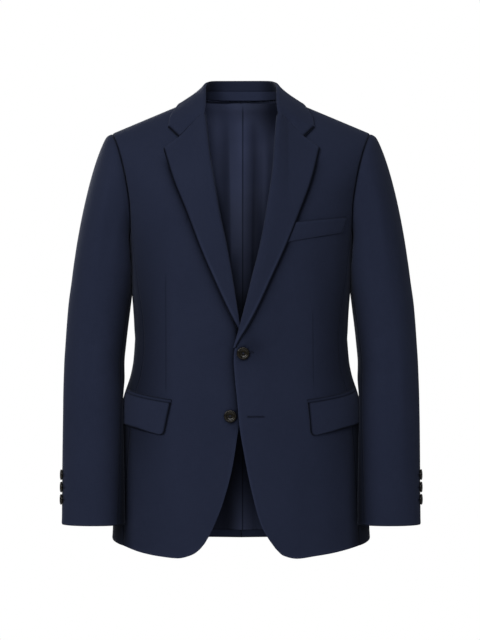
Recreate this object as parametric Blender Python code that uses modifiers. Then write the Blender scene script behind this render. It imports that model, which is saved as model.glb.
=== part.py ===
"""A single breasted blazer in its worn, hollow form: two front buttons, notch lapels, flap pockets.

+Z is up, the front faces -Y, and the wearer's left is +X. The origin is on the middle plane, level with the
places where the collar crosses the shoulders. Sizes are in millimetres and MM turns them to Blender's metres.
A place on a half of the body is given by its reach from the middle plane, towards that half's own side, and
its height z. A turn is the angle round the body from centre front (0) by the side (90) to centre back (180).
"""
import math
from bisect import bisect_right

import bmesh
import bpy
from mathutils import Vector

MM = 0.001
LEFT = 1
RIGHT = -1

# Cloth and seams
CLOTH = 1.8
LINING = 1.2
SEAM_GAP = 0.3
SEAM_STRIP = 3.0
SHOULDER_DRAW = 0.6

# Shoulders and neck
NECK_REACH = 76.0
NECK_HEIGHT = 13.3
NECK_RISE = 60.0
SHOULDER_SLOPE = 0.42
SHOULDER_REACH = 219.0
RIDGE_Y = 6.0
BACK_NECK_HEIGHT = 16.0
BACK_NECK_POWER = 1.6
FRONT_NECK = (67.5, -8.0)
ROUND_POWER = 0.58

# Body girth
GIRTH_POWER = 2.3
FRONT_SEAM_TURN = 62.0
BACK_SEAM_TURN = 118.0

# Lines of points on the panels
BODY_ROWS = 13
ARMHOLE_ROWS = 7
ARMHOLE_SHARE = 0.30
ARMHOLE_EASE = 1.25
SIDE_COLUMNS = 4
SHOULDER_COLUMNS = 5
NECK_COLUMNS = 2
# The narrow strip of cloth beside each seam, as a share of its panel
SHOULDER_STRIP = 0.002
PANEL_STRIP = 0.015
SIDE_STRIP = 0.027
ARMPIT_STRIP = 0.006
SLEEVE_STRIP = 0.12

# Sleeves
FULL_RING_Z = -262.0
CUFF_Z = -704.0
CAP_ROWS = 5
TUBE_ROWS = 11
SLEEVE_POWER = 2.15
SLEEVE_EASE = 3.0

# Buttons
FRONT_BUTTON = 20.5
FRONT_BUTTON_STEPS = 20
CUFF_BUTTON = 18.0
CUFF_BUTTON_STEPS = 14


def steady_slopes(keys, values):
    """Slopes that keep a curve through the values from swinging past them."""
    steps = [(v1 - v0) / (k1 - k0) for k0, k1, v0, v1 in zip(keys, keys[1:], values, values[1:])]
    slopes = [steps[0]]
    for before, after in zip(steps, steps[1:]):
        slopes.append(0.0 if before * after <= 0 else 2 * before * after / (before + after))
    return slopes + [steps[-1]]


class Table:
    """Sizes in named columns against a rising first column, read between the rows by a smooth curve."""

    def __init__(self, columns, *rows):
        self.keys = [row[0] for row in rows]
        self.values = {name: [row[i] for row in rows] for i, name in enumerate(columns.split())}
        self.slopes = {name: steady_slopes(self.keys, values) for name, values in self.values.items()}

    def read(self, name, key):
        keys = self.keys
        key = min(max(key, keys[0]), keys[-1])
        i = min(bisect_right(keys, key) - 1, len(keys) - 2)
        span = keys[i + 1] - keys[i]
        t = (key - keys[i]) / span
        v0, v1 = self.values[name][i : i + 2]
        s0, s1 = self.slopes[name][i : i + 2]
        ease = t * t * (3 - 2 * t)
        return v0 + (v1 - v0) * ease + span * (s0 * t * (1 - t) ** 2 - s1 * t * t * (1 - t))


class Curve:
    """A smooth curve through points, read by the fraction of its length."""

    def __init__(self, *points):
        lengths = [0.0]
        for a, b in zip(points, points[1:]):
            lengths.append(lengths[-1] + math.dist(a, b))
        names = " ".join(["length"] + [f"c{i}" for i in range(len(points[0]))])
        self.names = names.split()[1:]
        self.length = lengths[-1]
        self.table = Table(names, *[(l, *p) for l, p in zip(lengths, points)])

    def at(self, fraction):
        return tuple(self.table.read(name, fraction * self.length) for name in self.names)


# The torso under the cloth's outer face: half width and depths to the front and back at each height
TORSO = Table(
    "z half_width front_depth back_depth",
    (-760, 220.0, 115.5, 114.5),
    (-700, 217.0, 114.5, 112.0),
    (-650, 214.0, 113.5, 110.0),
    (-600, 211.0, 113.0, 107.0),
    (-550, 206.5, 112.0, 103.0),
    (-500, 200.8, 110.0, 98.0),
    (-455, 187.2, 108.5, 94.0),
    (-430, 182.8, 108.0, 92.5),
    (-395, 180.4, 108.0, 92.0),
    (-364, 181.2, 109.0, 95.0),
    (-300, 186.0, 115.0, 104.0),
    (-235, 190.0, 119.0, 113.0),
    (-150, 206.0, 115.0, 117.0),
    (-60, 234.0, 99.0, 102.0),
    (-40, 242.0, 95.0, 96.0),
    (20, 248.0, 90.0, 75.0),
)
# How deep the shoulder rounds over, below the ridge, in front and behind
SHOULDER_ROUND = Table(
    "reach front back",
    (0, 215.0, 84.0),
    (76, 210.0, 88.0),
    (150, 150.0, 98.0),
    (219, 66.0, 70.0),
)
# The seams between the fronts, the side bodies and the backs
SIDE_SEAMS = Table(
    "z front_turn back_turn",
    (-760, FRONT_SEAM_TURN, BACK_SEAM_TURN),
    (-420, FRONT_SEAM_TURN, 116.0),
    (-212, 73.0, 111.0),
)
ARMHOLE_FRONT_Z = -212.0
ARMHOLE_BACK_Z = -205.0
ARMHOLE_LOW_Z = -235.0

# The left front lies over the right one, and stands off the torso by this much at centre front
LAP = Table(
    "z lift",
    (-760, 0.0),
    (-620, 0.8),
    (-550, 3.2),
    (-470, 3.8),
    (-420, 5.2),
    (-330, 5.2),
    (-250, 0.0),
    (20, 0.0),
)
LAP_FULL_REACH = 22.0
LAP_END_REACH = 78.0

# Each front's edge, from the rounded hem corner up to the foot of the roll line: reach, height
FRONT_EDGE = {
    LEFT: Curve(
        (56.4, -739.5), (41.6, -718.0), (31.5, -697.0), (16.9, -644.4), (3.6, -578.0), (-3.3, -534.5),
        (-6.8, -495.0), (-10.8, -454.0), (-12.3, -428.0), (-10.8, -411.6),
    ),
    RIGHT: Curve(
        (60.0, -731.0), (52.5, -718.2), (38.9, -687.8), (30.0, -664.0), (15.4, -610.0), (10.3, -580.4),
        (3.3, -534.5), (-5.5, -495.0), (-10.5, -454.0), (-12.3, -428.0), (-11.5, -412.0),
    ),
}
# The roll line of each lapel, from its foot up to the gorge seam
ROLL_LINE = {
    LEFT: Curve(
        (-10.8, -411.6), (-3.3, -375.5), (14.6, -295.0), (25.9, -251.0), (39.4, -195.0), (49.3, -125.0),
        (52.0, -84.6), (57.5, -43.0), (61.5, -22.0),
    ),
    RIGHT: Curve(
        (-11.5, -412.0), (0.0, -374.0), (4.6, -338.0), (13.6, -277.0), (24.9, -227.7), (32.8, -198.2),
        (43.2, -125.0), (50.5, -84.6), (57.0, -43.0), (61.5, -22.0),
    ),
}
# The hem of each front, from its rounded corner to the side body
FRONT_HEM = {
    LEFT: Curve(
        (56.4, -739.5), (69.5, -751.0), (92.0, -756.3), (121.9, -753.0), (148.7, -749.6), (174.3, -744.8),
        (196.3, -739.5),
    ),
    RIGHT: Curve(
        (60.0, -731.0), (68.0, -740.5), (81.3, -750.0), (105.2, -756.0), (138.6, -753.4), (166.5, -749.1),
        (196.3, -741.5),
    ),
}
SIDE_HEM = Table("turn z", (62, -740.5), (90, -734.0), (118, -737.0), (150, -744.0), (180, -746.5))

# The free outer edge of each lapel, from its tip down to the foot of the roll line
LAPEL_EDGE = {
    LEFT: Curve(
        (130.5, -79.0), (115.2, -136.0), (95.4, -188.0), (73.0, -243.6), (48.2, -298.4), (19.0, -360.7),
        (8.2, -380.5), (-3.0, -400.0),
    ),
    RIGHT: Curve(
        (129.0, -80.0), (110.8, -135.9), (89.3, -188.0), (66.5, -247.6), (44.0, -300.0), (23.0, -346.0),
        (7.0, -378.0),
    ),
}
# Where each lapel starts on its roll line, and the least that its next line of points lies further up
LAPEL_FOOT = {LEFT: 0.02, RIGHT: 0.14}
LAPEL_FIRST = 0.02
GORGE_SHARE = 0.635
# The roll of a lapel in section: out from the roll line, and up from the panel at full height
ROLL = Table(
    "point out up",
    (0, -2.8, -2.0),
    (1, -2.8, 1.0),
    (2, -1.6, 4.2),
    (3, 2.5, 6.4),
    (4, 9.0, 7.2),
)
ROLL_POINTS = 5
ROLL_FLAT = 2.6
ROLL_FULL_WIDTH = 26.0
ROLL_FILLING = 2.2
LAPEL_LIE = 3.3
LAPEL_SHARES = (0.3, 0.55, 0.8, 1.0)


def ridge_height(reach):
    """The height of the shoulder seam, which rises under the collar to where the neck would be."""
    if abs(reach) < NECK_REACH:
        return NECK_HEIGHT + NECK_RISE * (1 - (reach / NECK_REACH) ** 2)
    return NECK_HEIGHT - SHOULDER_SLOPE * (abs(reach) - NECK_REACH)


def torso(turn, z):
    """The outer face of the left half of the body, at a turn and a height."""
    angle = math.radians(turn)
    sine = math.sin(angle)
    reach = TORSO.read("half_width", z) * math.copysign(abs(sine) ** (2 / GIRTH_POWER), sine)
    front = math.cos(angle) >= 0
    depth = TORSO.read("front_depth" if front else "back_depth", z) * abs(math.cos(angle)) ** (2 / GIRTH_POWER)
    y = -depth if front else depth
    drop = max(ridge_height(reach) - z, 0.0)
    share = min(drop / SHOULDER_ROUND.read("front" if front else "back", abs(reach)), 1.0)
    rounding = (1 - (1 - share) ** 2) ** ROUND_POWER
    return Vector((reach, RIDGE_Y + (y - RIDGE_Y) * rounding, z))


def turn_at(reach, z, back=False):
    """The turn at which the torso has this reach."""
    share = min(abs(reach) / TORSO.read("half_width", z), 1.0)
    turn = math.degrees(math.asin(share ** (GIRTH_POWER / 2)))
    return 180 - turn if back else math.copysign(turn, reach)


def lap_lift(side, reach, z):
    """How far the left front stands off the torso, over the right front."""
    if side == RIGHT:
        return 0.0
    t = min(max((reach - LAP_FULL_REACH) / (LAP_END_REACH - LAP_FULL_REACH), 0.0), 1.0)
    return LAP.read("lift", z) * (1 - t * t * (3 - 2 * t))


def normal_at(surface, a, b, step=0.5):
    """The outward unit normal of a surface of two values."""
    across = surface(a + step, b) - surface(a - step, b)
    up = surface(a, b + step) - surface(a, b - step)
    return across.cross(up).normalized()


def on_turn(side, turn, z, height=0.0):
    """A point on the body by its turn, raised off the cloth's outer face by a height."""
    point = torso(turn, z)
    lift = height + (lap_lift(side, point.x, z) if abs(turn) < 90 else 0.0)
    point += normal_at(torso, turn, z) * lift
    return Vector((side * point.x, point.y, point.z))


def on_front(side, reach, z, height=0.0):
    """A point on a front by its reach."""
    return on_turn(side, turn_at(reach, z), z, height)


def fractions(count, strip):
    """Even fractions from 0 to 1, with a narrow strip at each end."""
    return [0.0, strip] + [i / count for i in range(1, count)] + [1 - strip, 1.0]


def row_fractions():
    """The heights of the lines of points of a panel: even up to the armhole, then closer to the shoulder."""
    low = 1 - ARMHOLE_SHARE
    rows = [low * i / BODY_ROWS for i in range(BODY_ROWS + 1)]
    return rows + [low + ARMHOLE_SHARE * armhole_fraction(i) for i in range(1, ARMHOLE_ROWS + 1)]


def armhole_fraction(i):
    """How far up the armhole its i-th point lies."""
    return 1 - (1 - i / ARMHOLE_ROWS) ** ARMHOLE_EASE


def edge_share(side):
    """The share of a forepart's front that lies below its roll line."""
    return FRONT_EDGE[side].length / (FRONT_EDGE[side].length + ROLL_LINE[side].length)


def roll_fractions(side):
    """Where the forepart's lines of points meet its roll line."""
    foot = edge_share(side)
    return [(v - foot) / (1 - foot) for v in row_fractions() if v > foot]


def shoulder_strip(rows):
    """The same rows, with one more close to the shoulder seam."""
    return rows[:-1] + [1 - SHOULDER_STRIP, 1.0]


def patch(rows, columns, bottom, top, start, end):
    """Turns and heights at lines of points between four edges, each a function of its fraction."""
    corners = [bottom(0.0), bottom(1.0), top(0.0), top(1.0)]
    grid = []
    for v in rows:
        line = []
        for u in columns:
            ends = zip(bottom(u), top(u), start(v), end(v), *corners)
            line.append(tuple(
                (1 - v) * b + v * t + (1 - u) * s + u * e
                - (1 - v) * ((1 - u) * c0 + u * c1) - v * ((1 - u) * c2 + u * c3)
                for b, t, s, e, c0, c1, c2, c3 in ends
            ))
        grid.append(line)
    return grid


def draw_in(grid, edges, gap=SEAM_GAP / 2):
    """Draws the named edges of a grid of points in from their seams."""
    lines = {
        "start": [(row, 0, 1) for row in grid],
        "end": [(row, -1, -2) for row in grid],
        "bottom": [(column, 0, 1) for column in zip(grid[0], grid[1])],
        "top": [(column, 0, 1) for column in zip(grid[-1], grid[-2])],
    }
    for edge in edges:
        for line, i, j in lines[edge]:
            line[i].xyz = line[i] + (line[j] - line[i]).normalized() * gap
    return grid


def cloth_colour(name, colour, roughness, metallic=0.0):
    """A material with a colour, a roughness and a metallic value."""
    material = bpy.data.materials.new(name)
    material.use_nodes = True
    shader = material.node_tree.nodes["Principled BSDF"]
    shader.inputs["Base Color"].default_value = (*colour, 1.0)
    shader.inputs["Roughness"].default_value = roughness
    shader.inputs["Metallic"].default_value = metallic
    return material


def wool(name):
    return cloth_colour(name + "_wool", (0.018, 0.022, 0.040), 0.9)


def satin(name):
    return cloth_colour(name + "_satin", (0.020, 0.022, 0.040), 0.45)


def horn(name):
    return cloth_colour(name + "_horn", (0.035, 0.022, 0.012), 0.25)


def wall(name, grid, material, collection, thickness=CLOTH, flip=False):
    """A wall of cloth: an open grid of points on its outer face, thickened inwards."""
    if flip:
        grid = [row[::-1] for row in grid]
    shape = bmesh.new()
    bmesh.ops.create_grid(shape, x_segments=len(grid[0]) - 1, y_segments=len(grid) - 1, size=1.0)
    shape.verts.ensure_lookup_table()
    points = [point for row in grid for point in row]
    for vertex, point in zip(shape.verts, points):
        vertex.co = point * MM
    mesh = bpy.data.meshes.new(name)
    shape.to_mesh(mesh)
    shape.free()
    mesh.materials.append(material)
    mesh.shade_smooth()
    panel = bpy.data.objects.new(name, mesh)
    collection.objects.link(panel)
    solid = panel.modifiers.new("thickness", "SOLIDIFY")
    solid.thickness = thickness * MM
    solid.offset = -1.0
    solid.use_quality_normals = True
    return panel


def side_name(side):
    return "left" if side == LEFT else "right"


def armhole_front(fraction):
    """The front of the armhole from the side body up to the shoulder, as turn and height."""
    reach, z = ARMHOLE_FRONT.at(fraction)
    return turn_at(reach, z), z


def armhole_back(fraction):
    """The back of the armhole from the side body up to the shoulder, as turn and height."""
    reach, z = ARMHOLE_BACK.at(fraction)
    return turn_at(reach, z, back=True), z


def armhole_low(fraction):
    """The foot of the armhole across the side body, from its front seam to its back seam."""
    front = SIDE_SEAMS.read("front_turn", ARMHOLE_FRONT_Z)
    back = SIDE_SEAMS.read("back_turn", ARMHOLE_BACK_Z)
    level = ARMHOLE_FRONT_Z + (ARMHOLE_BACK_Z - ARMHOLE_FRONT_Z) * fraction
    sag = (ARMHOLE_LOW_Z - (ARMHOLE_FRONT_Z + ARMHOLE_BACK_Z) / 2) * 4 * fraction * (1 - fraction)
    return front + (back - front) * fraction, level + sag


SHOULDER_TIP = (SHOULDER_REACH, ridge_height(SHOULDER_REACH))
ARMHOLE_FRONT = Curve(
    (torso(SIDE_SEAMS.read("front_turn", ARMHOLE_FRONT_Z), ARMHOLE_FRONT_Z).x, ARMHOLE_FRONT_Z),
    (186.5, -175.0), (193.0, -128.0), (202.0, -90.0), (210.5, -65.0), SHOULDER_TIP,
)
ARMHOLE_BACK = Curve(
    (torso(SIDE_SEAMS.read("back_turn", ARMHOLE_BACK_Z), ARMHOLE_BACK_Z).x, ARMHOLE_BACK_Z),
    (189.0, -165.0), (197.0, -120.0), (205.0, -85.0), (212.0, -64.0), SHOULDER_TIP,
)


def shoulder_seam(fraction, back=False):
    """The shoulder seam from the neck to the tip, as turn and height."""
    reach = NECK_REACH + (SHOULDER_REACH - NECK_REACH) * fraction
    z = ridge_height(reach)
    return turn_at(reach, z, back), z


def side_seam(which, fraction):
    """A seam of the side body, from the hem up to the armhole."""
    low = SIDE_HEM.read("z", FRONT_SEAM_TURN if which == "front_turn" else BACK_SEAM_TURN)
    high = ARMHOLE_FRONT_Z if which == "front_turn" else ARMHOLE_BACK_Z
    z = low + (high - low) * fraction
    return SIDE_SEAMS.read(which, z), z


def panel_outer_edge(which, armhole):
    """A panel's edge along the side body and then along the armhole."""
    low = 1 - ARMHOLE_SHARE
    return lambda v: side_seam(which, v / low) if v <= low else armhole((v - low) / ARMHOLE_SHARE)


def front_columns():
    neck = NECK_COLUMNS / (SHOULDER_COLUMNS + NECK_COLUMNS)
    shoulder = [neck + (1 - neck) * i / SHOULDER_COLUMNS for i in range(SHOULDER_COLUMNS + 1)]
    return [0.0, neck / 2] + shoulder[:-1] + [1 - PANEL_STRIP, 1.0], neck


def front_grid(side):
    """The forepart: front edge and roll line, hem, side seam and armhole, shoulder and neckline."""
    columns, neck = front_columns()
    edge, roll = FRONT_EDGE[side], ROLL_LINE[side]
    foot = edge_share(side)
    neckline = Curve(roll.at(1.0), FRONT_NECK, (NECK_REACH, NECK_HEIGHT))

    def front_edge(v):
        reach, z = edge.at(v / foot) if v <= foot else roll.at((v - foot) / (1 - foot))
        return turn_at(reach, z), z

    def hem(u):
        reach, z = FRONT_HEM[side].at(u)
        if u == 1.0:
            return side_seam("front_turn", 0.0)
        return turn_at(reach, z), z

    def top(u):
        if u < neck:
            reach, z = neckline.at(u / neck)
            return turn_at(reach, z), z
        return shoulder_seam((u - neck) / (1 - neck))

    turns = patch(shoulder_strip(row_fractions()), columns, hem, top, front_edge,
                  panel_outer_edge("front_turn", armhole_front))
    return [[on_turn(side, turn, z) for turn, z in row] for row in turns]


def side_grid(side):
    """The side body between its two seams, from the hem to the foot of the armhole."""
    rows = [i / BODY_ROWS for i in range(BODY_ROWS)] + [1 - ARMPIT_STRIP, 1.0]
    columns = fractions(SIDE_COLUMNS, SIDE_STRIP)

    def hem(u):
        turn = FRONT_SEAM_TURN + (BACK_SEAM_TURN - FRONT_SEAM_TURN) * u
        return turn, SIDE_HEM.read("z", turn)

    turns = patch(rows, columns, hem, armhole_low, lambda v: side_seam("front_turn", v),
                  lambda v: side_seam("back_turn", v))
    return [[on_turn(side, turn, z) for turn, z in row] for row in turns]


def back_columns():
    shoulder = SHOULDER_COLUMNS / (SHOULDER_COLUMNS + NECK_COLUMNS)
    inner = [shoulder * i / SHOULDER_COLUMNS for i in range(1, SHOULDER_COLUMNS + 1)]
    neck = [shoulder + (1 - shoulder) * i / NECK_COLUMNS for i in range(1, NECK_COLUMNS)]
    return [0.0, PANEL_STRIP] + inner + neck + [1 - PANEL_STRIP, 1.0], shoulder


def back_neck(fraction):
    """The back neck seam from the shoulder to the centre, as turn and height."""
    reach = NECK_REACH * (1 - fraction ** BACK_NECK_POWER)
    return turn_at(reach, NECK_HEIGHT, back=True), NECK_HEIGHT + (BACK_NECK_HEIGHT - NECK_HEIGHT) * fraction


def back_grid(side, height=0.0):
    """A half of the back: side seam and armhole, hem, centre seam, shoulder and neck."""
    columns, shoulder = back_columns()

    def hem(u):
        turn = BACK_SEAM_TURN + (180 - BACK_SEAM_TURN) * u
        return turn, SIDE_HEM.read("z", turn)

    def top(u):
        if u <= shoulder:
            return shoulder_seam(1 - u / shoulder, back=True)
        return back_neck((u - shoulder) / (1 - shoulder))

    def centre(v):
        low = SIDE_HEM.read("z", 180)
        return 180.0, low + (BACK_NECK_HEIGHT - low) * v

    turns = patch(shoulder_strip(row_fractions()), columns, hem, top,
                  panel_outer_edge("back_turn", armhole_back), centre)
    return [[on_turn(side, turn, z, height) for turn, z in row] for row in turns]


def add_body(collection):
    """The six panels of the body."""
    for side in (LEFT, RIGHT):
        label = side_name(side)
        flip = side == RIGHT
        fronts = draw_in(draw_in(front_grid(side), ("end",)), ("top",), SHOULDER_DRAW)
        sides = draw_in(side_grid(side), ("start", "end", "top"))
        backs = draw_in(draw_in(back_grid(side), ("start", "end")), ("top",), SHOULDER_DRAW)
        wall(f"front_{label}", fronts, wool(f"front_{label}"), collection, flip=flip)
        wall(f"side_{label}", sides, wool(f"side_{label}"), collection, flip=flip)
        wall(f"back_{label}", backs, wool(f"back_{label}"), collection, flip=flip)


def roll_section(side, roll_share, end, fall):
    """Points of a cloth that rolls over a front's edge and lies back on it as far as the end.

    The fall is 1 where the roll is full and 0 where it is pressed flat."""
    roll = ROLL_LINE[side]
    start, end = Vector(roll.at(roll_share)), Vector(end)
    along = Vector(roll.at(min(roll_share + 0.01, 1.0))) - Vector(roll.at(roll_share - 0.01))
    away = Vector((along.y, -along.x)).normalized()
    width = (end - start).length
    out = (end - start) / width
    squeeze = min(1.0, width / ROLL_FULL_WIDTH)
    points = []
    for i in range(ROLL_POINTS):
        reach, up = ROLL.values["out"][i], ROLL.values["up"][i]
        if i > 1:
            up = ROLL_FLAT + (up - ROLL_FLAT) * fall
            reach = reach if i == 2 else reach * squeeze
        place = start + (away if reach < 0 else out) * reach
        points.append(on_front(side, place.x, place.y, up))
    tail = ROLL.values["out"][-1] * squeeze
    top = ROLL_FLAT + (ROLL.values["up"][-1] - ROLL_FLAT) * fall
    for share in LAPEL_SHARES:
        place = start + out * (tail + (width - tail) * share)
        lie = min(top, LAPEL_LIE)
        points.append(on_front(side, place.x, place.y, lie + (top - lie) * (1 - share) ** 2))
    return points


def lapel_grid(side):
    """A lapel from the foot of its roll line up to the gorge seam."""
    foot = LAPEL_FOOT[side]
    grid = []
    for roll_share in [foot] + [share for share in roll_fractions(side) if share > foot + LAPEL_FIRST]:
        share = (roll_share - foot) / (1 - foot)
        fall = min(1.0, ROLL_FILLING * share)
        grid.append(roll_section(side, roll_share, LAPEL_EDGE[side].at(1 - share), fall))
    return grid


def add_lapels(collection):
    """The two turned-back lapels."""
    for side in (LEFT, RIGHT):
        label = side_name(side)
        grid = draw_in(lapel_grid(side), ("top",), SEAM_GAP)
        wall(f"lapel_{label}", grid, wool(f"lapel_{label}"), collection, flip=side == RIGHT)


# The collar's stations from the gorge seam round to centre back: the fold, and the outer edge on the body
COLLAR = Table(
    "station fold_x fold_y fold_z edge_x edge_z edge_back lie neck_x neck_y neck_z",
    (1, 61.5, -50.0, -9.0, 123.5, -40.0, 0, 3.4, 64.0, -44.0, -14.0),
    (2, 62.0, -38.0, 4.0, 120.5, -27.0, 0, 3.6, 67.5, -35.5, -4.0),
    (3, 62.0, -20.0, 20.0, 114.0, -12.0, 0, 4.2, 72.0, -14.0, 9.5),
    (4, 61.0, 0.0, 32.0, 106.5, 0.6, 0, 5.2, 73.5, 6.0, 15.5),
    (5, 59.5, 20.0, 40.0, 99.0, 0.0, 1, 4.8, 71.0, 26.0, 15.0),
    (6, 56.0, 40.0, 46.0, 86.0, -3.0, 1, 4.2, 64.0, 42.0, 15.5),
    (7, 48.0, 57.0, 49.5, 67.0, 0.0, 1, 3.8, 50.0, 55.0, 15.8),
    (8, 28.0, 70.0, 51.3, 40.0, 3.0, 1, 3.6, 28.0, 63.5, 16.0),
    (9, 0.0, 74.0, 51.8, 0.0, 5.0, 1, 3.6, 0.0, 66.5, 16.3),
)
COLLAR_STATIONS = 9
FOLD_HALF = 2.5
FOLD_DROP = 3.2
STAND_SHARE = 0.52
COLLAR_BULGE = 0.8
FALL_SHARES = (0.12, 0.34, 0.56, 0.78, 1.0)
BAND_SHARES = (0.03, 0.5, 1.0)


def clear_of_torso(point, clearance):
    """The point, moved off the torso where it lies closer to it than the clearance."""
    drop = ridge_height(point.x) + clearance - point.z
    if drop <= 0:
        return point
    back = point.y > RIDGE_Y
    z = min(point.z, ridge_height(point.x) - 0.2)
    skin = torso(turn_at(abs(point.x), z, back), z)
    limit = skin.y + clearance if back else skin.y - clearance
    y = max(point.y, limit) if back else min(point.y, limit)
    return Vector((point.x, y, point.z))


def collar_section(station):
    """The collar across its fold, from inside the neck over the fold to the outer edge."""
    fold = Vector([COLLAR.read(f"fold_{axis}", station) for axis in "xyz"])
    neck = Vector([COLLAR.read(f"neck_{axis}", station) for axis in "xyz"])
    reach, z = COLLAR.read("edge_x", station), COLLAR.read("edge_z", station)
    back, lie = COLLAR.read("edge_back", station) > 0.5, COLLAR.read("lie", station)
    on_ridge = z >= ridge_height(reach) - 0.3
    if on_ridge:
        edge = Vector((reach, RIDGE_Y, ridge_height(reach) + lie))
    else:
        turn = turn_at(reach, z, back)
        edge = torso(turn, z) + normal_at(torso, turn, z) * lie
    fall = (edge - fold).normalized()
    ahead = Vector([COLLAR.read(f"fold_{axis}", min(station + 0.05, COLLAR_STATIONS)) for axis in "xyz"])
    behind = Vector([COLLAR.read(f"fold_{axis}", station - 0.05) for axis in "xyz"])
    out = fall.cross(ahead - behind).normalized()
    if station >= COLLAR_STATIONS:
        out.x = 0.0
    inside = fold + fall * FOLD_DROP - out * FOLD_HALF
    outside = fold + fall * FOLD_DROP + out * FOLD_HALF
    points = [neck + (inside - neck) * STAND_SHARE, inside, fold, outside]
    width = (edge - outside).length
    for share in FALL_SHARES:
        bulge = COLLAR_BULGE * math.sin(math.pi * share)
        point = outside + (edge - outside) * share + out * bulge
        points.append(clear_of_torso(point, lie) if share < 1 else point)
    return points, neck


def gorge_section(side):
    """The collar's end along the gorge seam, rolled as the lapel is."""
    tip = Vector(LAPEL_EDGE[LEFT].at(0.0))
    start = Vector(ROLL_LINE[side].at(1.0))
    return roll_section(side, 1.0, start + (tip - start) * GORGE_SHARE, 1.0)


def half_collar():
    """The left half of the collar's grid, from the gorge seam to centre back."""
    rows = [gorge_section(LEFT)]
    for station in range(1, COLLAR_STATIONS + 1):
        rows.append(collar_section(station)[0])
    return rows


def mirrored(rows):
    """Both halves of a grid that is symmetric about the middle plane, its last row being on it."""
    others = [[Vector((-p.x, p.y, p.z)) for p in row] for row in rows[:-1]]
    return rows + others[::-1]


def add_collar(collection):
    """The collar with its fall, and the band inside it below the fold."""
    grid = draw_in(mirrored(half_collar()), ("start", "bottom", "top"), SEAM_GAP)
    wall("collar", grid, wool("collar"), collection)
    band = []
    for station in range(2, COLLAR_STATIONS + 1):
        points, neck = collar_section(station)
        band.append([neck + (points[0] - neck) * share for share in BAND_SHARES])
    grid = draw_in(mirrored(band), ("end",))
    wall("collar_stand", grid, wool("collar_stand"), collection)


# The sleeves' outline from the front: reach of the outer and inner edge, half depth and middle of the tube
SLEEVE = Table(
    "z outer inner half_depth middle_y clearance",
    (-711, 297.5, 193.0, 37.0, -60.0, 4.5),
    (-612, 297.5, 194.0, 44.0, -50.0, 6.0),
    (-500, 298.0, 195.5, 51.0, -26.0, 6.7),
    (-437, 297.0, 199.2, 55.0, -12.0, 4.0),
    (-405, 295.5, 196.8, 57.0, -6.0, 2.6),
    (-340, 291.5, 189.0, 61.0, 0.0, 2.4),
    (-300, 286.5, 181.0, 63.5, 2.0, 2.4),
    (-262, 281.5, 175.0, 66.0, 4.0, 2.4),
    (-235, 276.0, 178.0, 67.0, 5.0, 2.4),
)
SLEEVE_COLUMNS = 2 * ARMHOLE_ROWS + SIDE_COLUMNS
BACK_SEAM_COLUMN = -2
FRONT_SEAM_COLUMN = 8
CUFF_TWIST = 22.0
SEAM_SWING = 24.0
BACK_SEAM_ANGLE = -40.0
ARMPIT_DROP = 1.0
# How the sleeve's cap leaves the armhole and runs into the tube
CAP_SPREAD = 150.0
CAP_DROOP = 0.05
CAP_TILT = 0.3
CAP_START = 0.10
CAP_START_SIDE = 0.12
CAP_END = 0.35
CAP_END_TOP = 0.1


def sleeve_twist(angle):
    """How far a line along the sleeve turns round it by the cuff: the back seam swings out to the buttons."""
    from_seam = max(math.cos(math.radians(angle - BACK_SEAM_ANGLE)), 0.0)
    return SEAM_SWING * from_seam ** 4 - CUFF_TWIST * math.sin(math.radians(angle / 2)) ** 2


def sleeve_tube(angle, z):
    """The left sleeve below the armpit: 0 is the outer edge, 90 the front and 180 the inner edge."""
    outer, inner = SLEEVE.read("outer", z), SLEEVE.read("inner", z)
    turn = math.radians(angle)
    across = math.copysign(abs(math.cos(turn)) ** (2 / SLEEVE_POWER), math.cos(turn))
    along = math.copysign(abs(math.sin(turn)) ** (2 / SLEEVE_POWER), math.sin(turn))
    y = SLEEVE.read("middle_y", z) - SLEEVE.read("half_depth", z) * along
    x = (outer + inner) / 2 + (outer - inner) / 2 * across
    return Vector((clear_of_side(x, y, z), y, z))


def clear_of_side(x, y, z):
    """A reach kept clear of the side of the body, easing off it."""
    depth = TORSO.read("front_depth" if y < 0 else "back_depth", z)
    share = max(1 - (abs(y) / depth) ** GIRTH_POWER, 0.0)
    limit = TORSO.read("half_width", z) * share ** (1 / GIRTH_POWER) + SLEEVE.read("clearance", z)
    return limit + SLEEVE_EASE * math.log1p(math.exp(min((x - limit) / SLEEVE_EASE, 50.0)))


def armhole_point(column):
    """The left armhole's points in order, from the shoulder by the front and the foot to the back."""
    column %= SLEEVE_COLUMNS
    if column <= ARMHOLE_ROWS:
        turn, z = armhole_front(armhole_fraction(ARMHOLE_ROWS - column))
    elif column <= ARMHOLE_ROWS + SIDE_COLUMNS:
        turn, z = armhole_low((column - ARMHOLE_ROWS) / SIDE_COLUMNS)
    else:
        turn, z = armhole_back(armhole_fraction(column - ARMHOLE_ROWS - SIDE_COLUMNS))
    return torso(turn, z)


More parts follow.
